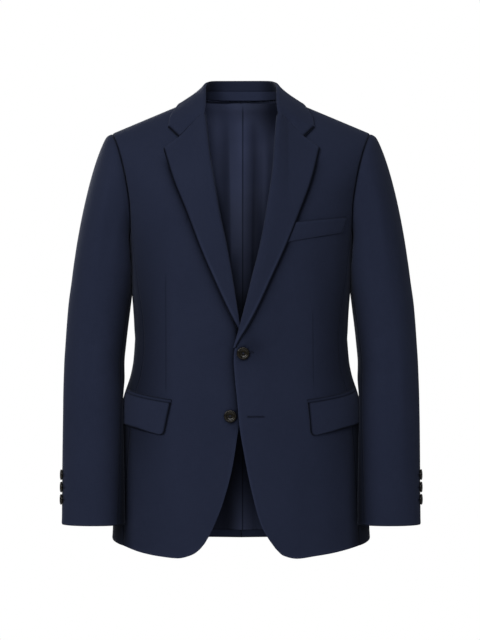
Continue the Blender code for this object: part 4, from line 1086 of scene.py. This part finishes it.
# How much light reaches the lining at each height, how far its folds show in it, and how much less light there is
# towards the wearer's left
LINING_LEVEL = Table("z level contrast tilt", """
    -750 0.95 0.5 0; -725 0.78 0.5 0; -704 0.62 0.5 0; -683 0.45 0.6 0; -660 0.28 0.7 0; -641 0.17 0.8 0;
    -600 0.07 1 0; -350 0.05 1 0; -332 0.1 1 0; -312 0.32 1 0; -295 0.44 1 0; -277 0.52 1 0; -260 0.58 1 0;
    -243 0.67 1 0; -208 0.82 1 0; -190 0.86 1 0; -156 1.03 1 0; -121 1.3 1 0; -86 1.32 1 0.1; -52 1.3 0.75 0.4;
    -26 1.22 0.45 0.8; -8 1.03 0.1 1; 9 0.78 0.1 1; 20 0.8 0.1 0.8
""")
LINING_TILT = 0.014
LINING_HEM_DARK = 0.3
# How much light of the open front reaches the lining at each place across it
LINING_LIGHT = Table("place light", """
    -70 0.7; -42 0.95; -31 1; -26 1.1; -21 1.32; -15 1.9; -10 1.68; -5 1.62; 4 1.68; 10 1.42; 15 0.82; 21 0.56;
    26 0.77; 31 0.74; 37 0.55; 45 0.6; 70 0.5
""")
# How dark the lining is beside the roll of each lapel, which stands this much larger before it
ROLL_SHADE = {LEFT: 0.20, RIGHT: 0.75}
ROLL_SHADE_WIDTH = 13.0
ROLL_SHADE_SCALE = 1.052


def beside_roll(side, reach, z):
    """How dark the lining is where the roll of a lapel hides the light from it."""
    beyond = reach_of(z, ROLL_LINE[side], scale=ROLL_SHADE_SCALE) - reach
    return ROLL_SHADE[side] * smooth(1 - np.maximum(beyond, 0) / ROLL_SHADE_WIDTH) * smooth((-75 - z) / 90)


def lining_half(side):
    """A half of the back's lining, from the side seam to the centre, with how dark it is at each point."""
    rows = LINING_SPAN[0] + (LINING_SPAN[1] - LINING_SPAN[0]) * body_rows(80, 40)
    turns = back_turns(rows, spread(80, 190, start=False, end=False))
    outer = on_turn(LEFT, turns[..., 0], turns[..., 1])
    reach, z = side * outer[..., 0], outer[..., 2]
    level = np.linspace(0, 1, len(rows))[:, None]
    fullness = np.sin(np.pi * (FULLNESS_START + FULLNESS_SPAN * level))
    depth = LINING_FOLDS.read("depth", reach + 2.5 * np.sin(z / 90.0) * smooth(np.abs(reach) / 30))
    off = LINING_OFF + (LINING_LOW_OFF - LINING_OFF) * np.maximum(1 - 2 * level, 0)
    off = off - LINING_TOP_OFF + fullness * depth + unevenness(reach, z, 0.3, 30)
    half = outer - grid_normals(outer) * (LINING_TOP_OFF + held(off, outer, top=14))[..., None]
    half[..., 2] += LINING_TOP_RISE * (1 - held(1, outer, top=14)) * smooth((NECK_HALF - np.abs(reach)) / 14)
    folds = 1 + held(FOLD_SHADE * (depth - FOLD_LEVEL), outer, top=30)
    light = 1 + (folds * LINING_LIGHT.read("light", reach) - 1) * LINING_LEVEL.read("contrast", z)
    light = light * (1 - LINING_TILT * LINING_LEVEL.read("tilt", z) * np.clip(reach, -45, 55))
    light = light * LINING_LEVEL.read("level", z) * (1 - beside_roll(side, side * reach, z))
    return half * [side, 1, 1], 1 - light


def lining_grid():
    """The lining of the back, with an ease pleat at the centre and soft folds beside it."""
    halves = zip(lining_half(LEFT), lining_half(RIGHT))
    grid, shade = (np.concatenate([left, right[:, -2::-1]], 1) for left, right in halves)
    shade = shade + LINING_HEM_DARK * beside(grid, ("bottom",), 0.9)
    return grid[:, ::-1], shade[:, ::-1]


# ---------------- materials

class Value:
    """What a node gives. A sum done with it adds the node that works it out."""

    def __init__(self, paint, socket):
        self.paint, self.socket = paint, socket

    def __add__(self, other):
        return self.paint.math("ADD", self, other)

    def __sub__(self, other):
        return self.paint.math("SUBTRACT", self, other)

    def __rsub__(self, other):
        return self.paint.math("SUBTRACT", other, self)

    def __mul__(self, other):
        return self.paint.math("MULTIPLY", self, other)

    def __truediv__(self, other):
        return self.paint.math("DIVIDE", self, other)


class Paint:
    """The node tree of a material or the world, built by short calls that return values."""

    def __init__(self, owner):
        self.owner = owner
        owner.use_nodes = True
        self.tree = owner.node_tree

    def fill(self, node, inputs):
        for key, value in dict(inputs).items():
            if isinstance(value, Value):
                self.tree.links.new(value.socket, node.inputs[key])
            else:
                node.inputs[key].default_value = value

    def node(self, kind, inputs=(), output=0, **settings):
        node = self.tree.nodes.new(kind)
        for name, value in settings.items():
            setattr(node, name, value)
        self.fill(node, inputs)
        return Value(self, node.outputs[output])

    def math(self, operation, *values):
        return self.node("ShaderNodeMath", enumerate(values), operation=operation)

    def sine(self, value):
        return self.math("SINE", value)

    def place(self, kind):
        """The three coordinates of a point, and the vector they make."""
        vector = self.node("ShaderNodeTexCoord", output=kind)
        node = self.node("ShaderNodeSeparateXYZ", {"Vector": vector}).socket.node
        return *(Value(self, output) for output in node.outputs), vector

    def noise(self, vector, scale, detail=3.0, roughness=0.55):
        inputs = {"Vector": vector, "Scale": scale, "Detail": detail, "Roughness": roughness}
        return self.node("ShaderNodeTexNoise", inputs)

    def slub(self, across, along):
        return self.noise(self.node("ShaderNodeCombineXYZ", {"X": across, "Y": along, "Z": 0.0}), 1.0, 2.0)

    def mix(self, share, dark, light):
        return self.node("ShaderNodeMix", {"Factor": share, 6: dark, 7: light}, 2, data_type="RGBA")

    def shaded(self, colour):
        """The colour scaled by the cloth's shade: painted shade that darkens its seams, hollows and shadows, and
        painted light where the shade is below zero.
        """
        shade = self.node("ShaderNodeAttribute", output="Fac", attribute_name="shade")
        return self.node("ShaderNodeVectorMath", {0: colour, "Scale": 1.0 - shade}, operation="SCALE")

    def finish(self, colour, roughness, height=None, depth=0.0, strength=1.0, constants=()):
        inputs = {"Base Color": colour, "Roughness": roughness, **dict(constants)}
        if height is not None:
            bump = {"Height": height, "Distance": depth, "Strength": strength}
            inputs["Normal"] = self.node("ShaderNodeBump", bump)
        self.fill(self.tree.nodes["Principled BSDF"], inputs)
        return self.owner


def new_material(name):
    return Paint(bpy.data.materials.new(name))


# One thread of the wool
THREAD = 0.55 * MM
WOOL_DARK = (0.0073, 0.0095, 0.0201, 1.0)
WOOL_LIGHT = (0.0200, 0.0250, 0.0477, 1.0)
WOOL_FINISH = {
    "Sheen Weight": 0.06,
    "Sheen Roughness": 0.5,
    "Sheen Tint": (0.55, 0.62, 0.85, 1.0),
    "Specular IOR Level": 0.05,
    "Specular Tint": (0.5, 0.6, 1.0, 1.0),
}
TWILL = 0.7 * MM
SATIN_DARK = (0.024, 0.030, 0.062, 1.0)
SATIN_LIGHT = (0.041, 0.049, 0.088, 1.0)
SATIN_FINISH = {"Specular IOR Level": 0.06, "Specular Tint": (0.6, 0.7, 1.0, 1.0)}
HORN_DARK = (0.0016, 0.0014, 0.0010, 1.0)
HORN_LIGHT = (0.0120, 0.0094, 0.0050, 1.0)
HORN_FINISH = {"Coat Weight": 0.14, "Coat Roughness": 0.08, "Specular IOR Level": 0.13}
BUTTON_THREAD = (0.010, 0.012, 0.024)
BUTTONHOLE_SILK = (0.0075, 0.0105, 0.025)
# A sewn line drawn in a cloth: its width, how sharply its ends stop, the colour of the painted shade in its groove
# and how deep it is
GROOVE_WIDTH = 1.1 * MM
GROOVE_END = 60.0
GROOVE_SHADE_COLOUR = (0.003, 0.004, 0.008, 1.0)
GROOVE_DEPTH = 3.0
WOOL_ROUGHNESS = 0.86
WEAVE_DEPTH = 0.16 * MM
SATIN_ROUGHNESS = 0.5
TWILL_DEPTH = 0.03 * MM
HORN_DEPTH = 0.05 * MM
TWIST_DEPTH = 0.1 * MM


def wool(name, dart=None):
    """Plain woven navy wool: threads over and under, slubs along them, a soft nap and slow changes of tone."""
    paint = new_material(name)
    u, v, *_ = paint.place("UV")
    warp, weft = u / THREAD, v / THREAD
    over = paint.sine(warp * math.pi) * paint.sine(weft * math.pi)
    slub = (paint.slub(warp * 0.9, weft * 0.03) + paint.slub(warp * 0.03, weft * 0.9)) * 0.5
    x, _, z, place = paint.place("Object")
    tone = paint.noise(place, 9.0, 2.0)
    colour = paint.mix(over * 0.16 + slub * 0.8 + (tone - 0.5) * 0.22, WOOL_DARK, WOOL_LIGHT)
    height = over * 0.35 + slub * 1.2
    if dart:
        colour, height = sewn_groove(paint, dart, x, z, colour, height)
    return paint.finish(paint.shaded(colour), WOOL_ROUGHNESS, height, WEAVE_DEPTH, 0.55, WOOL_FINISH)


def sewn_groove(paint, line, x, z, colour, height):
    """The seam of a dart or of the lining: a narrow groove between two places, given in metres, darkened by painted
    shade.
    """
    (x0, z0), (x1, z1), dark = line
    off = (x - ((z - z0) * ((x1 - x0) / (z1 - z0)) + x0)) / GROOVE_WIDTH
    inside = paint.math("MINIMUM", (z0 - z) * GROOVE_END, (z - z1) * GROOVE_END)
    share = paint.math("EXPONENT", off * off * -1.0) * paint.node("ShaderNodeClamp", {"Value": inside})
    return paint.mix(share * dark, colour, GROOVE_SHADE_COLOUR), height - share * GROOVE_DEPTH


def satin(name, seam=None):
    """Navy lining with the fine diagonal of a twill and a soft shine."""
    paint = new_material(name)
    u, v, *_ = paint.place("UV")
    x, _, z, place = paint.place("Object")
    height = diagonal = paint.sine((u + v) * (2 * math.pi / TWILL))
    colour = paint.mix(paint.noise(place, 14.0, 2.0) + diagonal * 0.06, SATIN_DARK, SATIN_LIGHT)
    if seam:
        colour, height = sewn_groove(paint, seam, x, z, colour, height)
    return paint.finish(paint.shaded(colour), SATIN_ROUGHNESS, height, TWILL_DEPTH, 0.35, SATIN_FINISH)


def horn(name):
    """Polished dark horn, clouded with brown."""
    paint = new_material(name)
    place = paint.place("Object")[-1]
    cloud = paint.noise(place, 160.0, 4.0, 0.6)
    streak = paint.noise(paint.node("ShaderNodeMapping", {"Vector": place, "Scale": (1.0, 1.0, 5.0)}), 90.0)
    share = (cloud + streak) * 0.5
    ramp = paint.node("ShaderNodeMapRange", {"Value": share, "From Min": 0.40, "From Max": 0.66})
    colour = paint.mix(ramp, HORN_DARK, HORN_LIGHT)
    return paint.finish(colour, share * 0.12 + 0.14, cloud, HORN_DEPTH, 0.3, HORN_FINISH)


def thread(name, colour):
    """Twisted sewing thread."""
    paint = new_material(name)
    grain = paint.noise(paint.place("Object")[-1], 2500.0, 2.0)
    mixed = paint.mix(grain, (*np.multiply(colour, 0.6), 1.0), (*np.multiply(colour, 1.5), 1.0))
    return paint.finish(mixed, 0.7, grain, TWIST_DEPTH, 0.5, {"Specular IOR Level": 0.15})


# ---------------- making pieces

CLOTH = 1.8
LINING = 1.2
# The least and greatest painted shade, from cloth painted lighter to the deepest seam
SHADES = (-3.5, 0.97)
THREAD_SIDES = 6
THREAD_TAPER = 0.35


def add_object(name, data):
    thing = bpy.data.objects.new(name, data)
    bpy.context.scene.collection.objects.link(thing)
    return thing


def mesh_of(shape, name):
    """A mesh from a bmesh, which is freed."""
    mesh = bpy.data.meshes.new(name)
    shape.to_mesh(mesh)
    shape.free()
    return mesh


def flat_size(grid):
    """The cloth's cut in metres, from a grid: its width, length and area."""
    width = run(grid, 1)[:, -1].max() * MM
    length = run(grid, 0)[-1].max() * MM
    a = np.linalg.norm(np.cross(np.diff(grid[:-1], axis=1), np.diff(grid[:, :-1], axis=0)), axis=-1)
    return width, length, a.sum() * MM * MM


def cloth(name, form, side, slot, materials, thickness=CLOTH, held="hung"):
    """A piece of cloth on its CAD node, whose name ends its own: a grid of points on its outer face with their
    shades, thickened inwards. The materials are those of the outer face and, where it has one, of the inner face."""
    grid, shade = form
    rows, columns = grid.shape[:2]
    shape = bmesh.new()
    bmesh.ops.create_grid(shape, x_segments=columns - 1, y_segments=rows - 1, size=1.0)
    mesh = mesh_of(shape, name)
    points = grid * [side, 1, 1]
    if side == RIGHT:
        points, grid, shade = points[:, ::-1], grid[:, ::-1], shade[:, ::-1]
    mesh.vertices.foreach_set("co", (points.reshape(-1, 3) * MM).ravel())
    weave_map(mesh, grid)
    mesh.attributes.new("shade", "FLOAT", "POINT").data.foreach_set("value", np.clip(shade, *SHADES).ravel())
    for material in materials:
        mesh.materials.append(material)
    mesh.shade_smooth()
    piece = add_object(name, mesh)
    solid = piece.modifiers.new("thickness", "SOLIDIFY")
    solid.thickness = thickness * MM
    solid.offset = -1.0
    solid.use_quality_normals = True
    solid.material_offset = len(materials) - 1
    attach(piece, "root")
    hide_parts(name.split("_", 1)[1])
    width, length, area = flat_size(grid)


def weave_map(mesh, grid):
    """A UV map in metres, so that the weave has its real size and follows the cloth."""
    across, up = run(grid, 1), run(grid, 0)
    middle = across[:, across.shape[1] // 2][:, None]
    flat = np.stack([across - middle, np.broadcast_to(up[:, up.shape[1] // 2][:, None], up.shape)], -1)
    corner = np.zeros(len(mesh.loops), int)
    mesh.loops.foreach_get("vertex_index", corner)
    mesh.uv_layers.new(name="weave").data.foreach_set("uv", (flat.reshape(-1, 2) * MM)[corner].ravel())


def sewing(name, parts, material):
    """One piece from many strands, each an array of points and a list of faces."""
    points, faces, count = [], [], 0
    for part_points, part_faces in parts:
        points.append(part_points)
        faces += [tuple(i + count for i in face) for face in part_faces]
        count += len(part_points)
    mesh = bpy.data.meshes.new(name)
    mesh.from_pydata((np.concatenate(points) * MM).tolist(), [], faces)
    mesh.materials.append(material)
    mesh.shade_smooth()
    piece = add_object(name, mesh)
    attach(piece, "root")
    return piece


def strand(path, radius, sides=THREAD_SIDES):
    """A length of thread along points: a tube with narrowed, closed ends."""
    path = np.asarray(path, float)
    ahead = unit(np.gradient(path, axis=0))
    guide = np.array([0.0, 0.0, 1.0]) if abs(ahead[0][2]) < 0.9 else np.array([1.0, 0.0, 0.0])
    across = unit(np.cross(ahead, guide))
    up = np.cross(across, ahead)
    angles = np.linspace(0, 2 * math.pi, sides, endpoint=False)[None, :, None]
    scale = np.ones((len(path), 1, 1))
    scale[0] = scale[-1] = THREAD_TAPER
    rings = path[:, None] + radius * scale * (across[:, None] * np.cos(angles) + up[:, None] * np.sin(angles))
    faces = []
    for i in range(0, (len(path) - 1) * sides, sides):
        for j in range(sides):
            k = (j + 1) % sides
            faces.append((i + j, i + k, i + sides + k, i + sides + j))
    faces.append(tuple(range(sides))[::-1])
    faces.append(tuple((len(path) - 1) * sides + j for j in range(sides)))
    return rings.reshape(-1, 3), faces


# ---------------- buttons

FRONT_BUTTON = 20.5
CUFF_BUTTON = 18.0
# Half of a button's section from its middle over the rim to its back, as shares of its radius
BUTTON_PROFILE = Table("point radius height", """
    0 0 0.2; 1 0.3 0.2; 2 0.52 0.215; 3 0.66 0.3; 4 0.76 0.345; 5 0.88 0.345; 6 0.97 0.29; 7 1 0.21;
    8 0.98 0.13; 9 0.9 0.06; 10 0.55 0; 11 0 0
""")
PROFILE_STEPS = 45
HOLE_RADIUS = 0.09
HOLE_REACH = 0.20
THREAD_RADIUS = 0.22
THREAD_SLIPS = (-0.35, 0.0, 0.35)
FRONT_BUTTONS = {"button_front_top": (LEFT, 3.3, -418.7), "button_front_low": (RIGHT, 18.0, -522.0)}
FRONT_BUTTON_SEAT = 0.8
CUFF_BUTTON_SEAT = 1.8
CUFF_BUTTON_ANGLE = 12.0
CUFF_BUTTON_Z = (-621.8, -642.2, -662.6)


def add_button(name, place, out, radius, horns, threads):
    """A sew-through horn button with its rim, its four holes and the threads that cross between them."""
    steps = np.linspace(0, BUTTON_PROFILE.keys[-1], PROFILE_STEPS)
    radii, heights = BUTTON_PROFILE.read("radius", steps), BUTTON_PROFILE.read("height", steps)
    shape = bmesh.new()
    corners = [shape.verts.new((r * radius * MM, 0, h * radius * MM)) for r, h in zip(radii, heights)]
    for a, b in zip(corners, corners[1:]):
        shape.edges.new((a, b))
    mesh = mesh_of(shape, name)
    mesh.materials.append(horns)
    button = add_object(name + "_horn", mesh)
    screw = button.modifiers.new("turn", "SCREW")
    screw.steps = screw.render_steps = 64
    screw.use_merge_vertices = True
    screw.merge_threshold = 0.00001
    screw.use_normal_calculate = True
    cutter = hole_cutter(name, radius)
    cut = button.modifiers.new("holes", "BOOLEAN")
    cut.operation = "DIFFERENCE"
    cut.object = cutter
    bake_modifiers(button)
    bpy.data.objects.remove(cutter)
    for piece in (button, thread_cross(name, radius, threads)):
        piece.location = place * MM
        piece.rotation_mode = "QUATERNION"
        piece.rotation_quaternion = Vector(out).to_track_quat("Z", "Y")
        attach(piece, "root")
    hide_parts(name)


def hole_cutter(name, radius):
    shape = bmesh.new()
    hole, reach = HOLE_RADIUS * radius * MM, HOLE_REACH * radius * MM
    for angle in np.radians([45, 135, 225, 315]):
        made = bmesh.ops.create_cone(shape, cap_ends=True, segments=20, radius1=hole, radius2=hole, depth=radius * MM)
        bmesh.ops.translate(shape, verts=made["verts"], vec=(reach * math.cos(angle), reach * math.sin(angle), 0))
    return add_object(name + "_holes", mesh_of(shape, name + "_holes"))


def bake_modifiers(piece):
    """Replaces a piece's mesh by what its modifiers make of it."""
    bpy.context.view_layer.update()
    mesh = bpy.data.meshes.new_from_object(piece.evaluated_get(bpy.context.evaluated_depsgraph_get()))
    piece.modifiers.clear()
    piece.data = mesh
    mesh.shade_smooth()
    mesh.set_sharp_from_angle(angle=math.radians(40))


def thread_cross(name, radius, threads):
    """Two crossed bars of thread over the holes of a button, their ends sunk in the holes."""
    reach = HOLE_REACH * radius
    top = BUTTON_PROFILE.values["height"][0] * radius
    parts = []
    for bar, angle in enumerate(np.radians([45, 135])):
        way = np.array([math.cos(angle), math.sin(angle), 0.0])
        beside_way = np.array([-way[1], way[0], 0.0])
        for slip in THREAD_SLIPS:
            path = []
            for t in np.linspace(-1, 1, 11):
                lift = top + 0.28 * (1 - t ** 4) + 0.12 * bar * (1 - t * t) - 0.9 * max(abs(t) - 0.85, 0) * 6
                path.append(way * reach * t + beside_way * slip + np.array([0, 0, lift]))
            parts.append(strand(path, THREAD_RADIUS))
    return sewing(name + "_thread", parts, threads)


def add_buttons():
    made_of = horn("dark_horn"), thread("button_thread", BUTTON_THREAD)
    for name, (side, reach, z) in FRONT_BUTTONS.items():
        place = on_front(side, reach, z, FRONT_BUTTON_SEAT)
        out = place - on_front(side, reach, z)
        add_button(name, place * [side, 1, 1], out * [side, 1, 1], FRONT_BUTTON / 2, *made_of)
    for side, label in SIDES.items():
        for i, z in enumerate(CUFF_BUTTON_Z, 1):
            out = -normal_at(sleeve_tube, CUFF_BUTTON_ANGLE, z)
            place = sleeve_tube(CUFF_BUTTON_ANGLE, z) + out * CUFF_BUTTON_SEAT
            name = f"button_cuff_{label}_{i}"
            add_button(name, place * [side, 1, 1], out * [side, 1, 1], CUFF_BUTTON / 2, *made_of)


# ---------------- buttonholes

# Start and end of each buttonhole of the left front, and how far round the sleeve those of the cuffs run
FRONT_HOLES = {
    "buttonhole_low": ((11.0, -522.8), (37.5, -522.8)),
    "buttonhole_top": ((0.5, -417.5), (19.5, -416.5)),
}
CUFF_HOLE_TURN = 18.0
CUFF_HOLE_LIFT = -0.2
STITCH_PITCH = 0.75
STITCH_RADIUS = 0.42
# The stitches in section: how far each point lies from the slot and how high over the cloth
SIDE_STITCH = ((0.15, 0.1), (0.55, 0.45), (1.2, 0.25), (1.5, 0.0))
END_STITCH = ((0.3, 0.1), (0.8, 0.45), (1.5, 0.25), (1.9, 0.0))
BAR_STITCH = ((-1.6, 0.1), (-0.8, 0.5), (0.8, 0.5), (1.6, 0.1))


def buttonhole(place_on, start, end):
    """Close stitches round a slot, with a bar at its inner end: a list of strands.

    place_on gives a point on the cloth from a place and a height above it."""
    start, end = np.array(start, float), np.array(end, float)
    ahead = unit(end - start)
    across = np.array([-ahead[1], ahead[0]])

    def stitch(place, way, section):
        return strand([place_on(place + way * off, up) for off, up in section], STITCH_RADIUS)

    middles = [start + ahead * (i + 0.5) * STITCH_PITCH for i in range(int(math.dist(start, end) / STITCH_PITCH))]
    parts = [stitch(middle, across * way, SIDE_STITCH) for way in (-1, 1) for middle in middles]
    for angle in np.radians(np.linspace(-90, 90, 9)):
        parts.append(stitch(start, -ahead * math.cos(angle) + across * math.sin(angle), END_STITCH))
    return parts + [stitch(end + ahead * slip, across, BAR_STITCH) for slip in (-0.4, 0.4)]


def add_buttonholes():
    """The left front's two buttonholes, and three false ones beside the cuff buttons of each sleeve."""
    silk = thread("buttonhole_silk", BUTTONHOLE_SILK)

    def on_left(place, up):
        return on_front(LEFT, place[0], place[1], up + 0.1)

    for name, (start, end) in FRONT_HOLES.items():
        sewing(name, buttonhole(on_left, start, end), silk)
    for side, label in SIDES.items():
        def on_sleeve(place, up):
            angle = CUFF_BUTTON_ANGLE + place[0]
            lift = SLEEVE_PROUD + CUFF_HOLE_LIFT + up
            return (sleeve_tube(angle, place[1]) - normal_at(sleeve_tube, angle, place[1]) * lift) * [side, 1, 1]

        for i, z in enumerate(CUFF_BUTTON_Z, 1):
            sewing(f"buttonhole_cuff_{label}_{i}", buttonhole(on_sleeve, (0.0, z), (CUFF_HOLE_TURN, z)), silk)


# ---------------- dressing the frame

# The upper and lower end of each front's dart and of the lining's seam in metres, and how dark its painted shade is
DARTS = {
    LEFT: ((0.1185, -0.345), (0.1200, -0.481), 0.35),
    RIGHT: ((-0.1250, -0.285), (-0.1245, -0.488), 0.4),
}
LINING_SEAM = ((0.0029, 0.012), (0.0024, -0.76), 0.85)


def add_body():
    body, lining = wool("navy_wool"), satin("navy_lining")
    lined = "navy_wool", [body, lining]
    turned = "navy_wool_turned", [body]
    for side, label in SIDES.items():
        dark = wool(f"navy_wool_front_{label}", DARTS[side])
        cloth(f"wool_front_{label}", front_grid(side), side, "navy_wool", [dark, lining])
    for side, label in SIDES.items():
        cloth(f"wool_side_{label}", side_grid(side), side, *lined)
        cloth(f"wool_back_{label}", back_grid(side), side, "navy_wool", [body, body])
        cloth(f"wool_lapel_{label}", lapel_grid(side), side, *turned, held="folded")
        for piece in SLEEVE_SPANS:
            cloth(f"wool_sleeve_{piece}_{label}", sleeve_grid(side, piece), side, *lined)
        cloth(f"wool_flap_{label}", flap_grid(side), side, *lined)
        cloth(f"wool_jetting_{label}", jetting_grid(side), side, "navy_wool", [body], 0.5, "folded")
    cloth("wool_breast_welt", welt_grid(), LEFT, "navy_wool", [body], 1.5)
    cloth("wool_collar", collar_grid(), LEFT, *turned, held="folded")
    cloth("wool_collar_stand", stand_grid(), LEFT, *turned)
    back = satin("navy_back_lining", LINING_SEAM)
    cloth("satin_back_lining", lining_grid(), LEFT, "navy_lining", [back], LINING)


# ---------------- studio

# Each light's place, the place it faces, its size and its power
LIGHTS = {
    "key": ((-1.35, -2.3, 0.8), (0.0, 0.0, -0.30), 1.1, 52.0),
    "front": ((-0.15, -3.3, 0.5), (0.0, 0.0, -0.30), 0.9, 32.0),
    "fill": ((1.7, -2.6, 0.3), (0.0, 0.0, -0.4), 2.2, 5.5),
    "top": ((0.0, -0.7, 2.2), (0.0, 0.0, -0.3), 1.4, 14.0),
    "behind": ((-1.2, 2.8, 0.9), (0.0, 0.0, -0.4), 1.6, 70.0),
}
WHITE = (1.0, 1.0, 1.0, 1.0)
SURROUND_LIGHT = 0.17
FLOOR_Z = -1.45
FLOOR_RADIUS = 5.0
FLOOR_BACK = 3.0
FLOOR_DARK = (0.80, 0.80, 0.80, 1.0)
FLOOR_LIGHT = (0.84, 0.84, 0.84, 1.0)
SENSOR = 36.0
PHOTO_HEIGHT_PX = 640
PIXEL = 0.0017
CAMERA_DISTANCE = 3.2
CAMERA_X = -0.0020


def add_studio():
    """Soft light from the front, a plain pale floor and a white surround, which lights less than it shows."""
    for name, (place, target, size, power) in LIGHTS.items():
        light = bpy.data.lights.new(name, "AREA")
        light.shape = "SQUARE"
        light.size = size
        light.energy = power
        lamp = add_object(name, light)
        lamp.location = place
        lamp.rotation_euler = (Vector(target) - Vector(place)).to_track_quat("-Z", "Y").to_euler()
    shape = bmesh.new()
    bmesh.ops.create_circle(shape, cap_ends=True, segments=128, radius=FLOOR_RADIUS)
    floor = add_object("floor", mesh_of(shape, "floor"))
    floor.location = (0.0, FLOOR_BACK - FLOOR_RADIUS, FLOOR_Z)
    paint = new_material("pale_floor")
    grain = paint.noise(paint.place("Object")[-1], 40.0)
    floor.data.materials.append(paint.finish(paint.mix(grain, FLOOR_DARK, FLOOR_LIGHT), 0.8))
    world = bpy.context.scene.world = bpy.data.worlds.new("studio")
    surround = Paint(world)
    shown = surround.node("ShaderNodeLightPath", output="Is Camera Ray")
    strength = surround.node("ShaderNodeMapRange", {"Value": shown, "To Min": SURROUND_LIGHT, "To Max": 1.0})
    surround.fill(surround.tree.nodes["Background"], {"Color": WHITE, "Strength": strength})
    bpy.context.scene.view_settings.view_transform = "Standard"


def add_camera():
    """A level camera in front, at the height of the waist."""
    camera = bpy.data.cameras.new("camera")
    camera.sensor_width = SENSOR
    camera.lens = SENSOR * CAMERA_DISTANCE / (PHOTO_HEIGHT_PX * PIXEL)
    holder = bpy.context.scene.camera = add_object("camera", camera)
    holder.location = (CAMERA_X, -CAMERA_DISTANCE, CAMERA_HEIGHT * MM)
    holder.rotation_euler = (math.radians(90), 0.0, 0.0)


add_camera()
add_studio()
add_body()
add_buttons()
add_buttonholes()
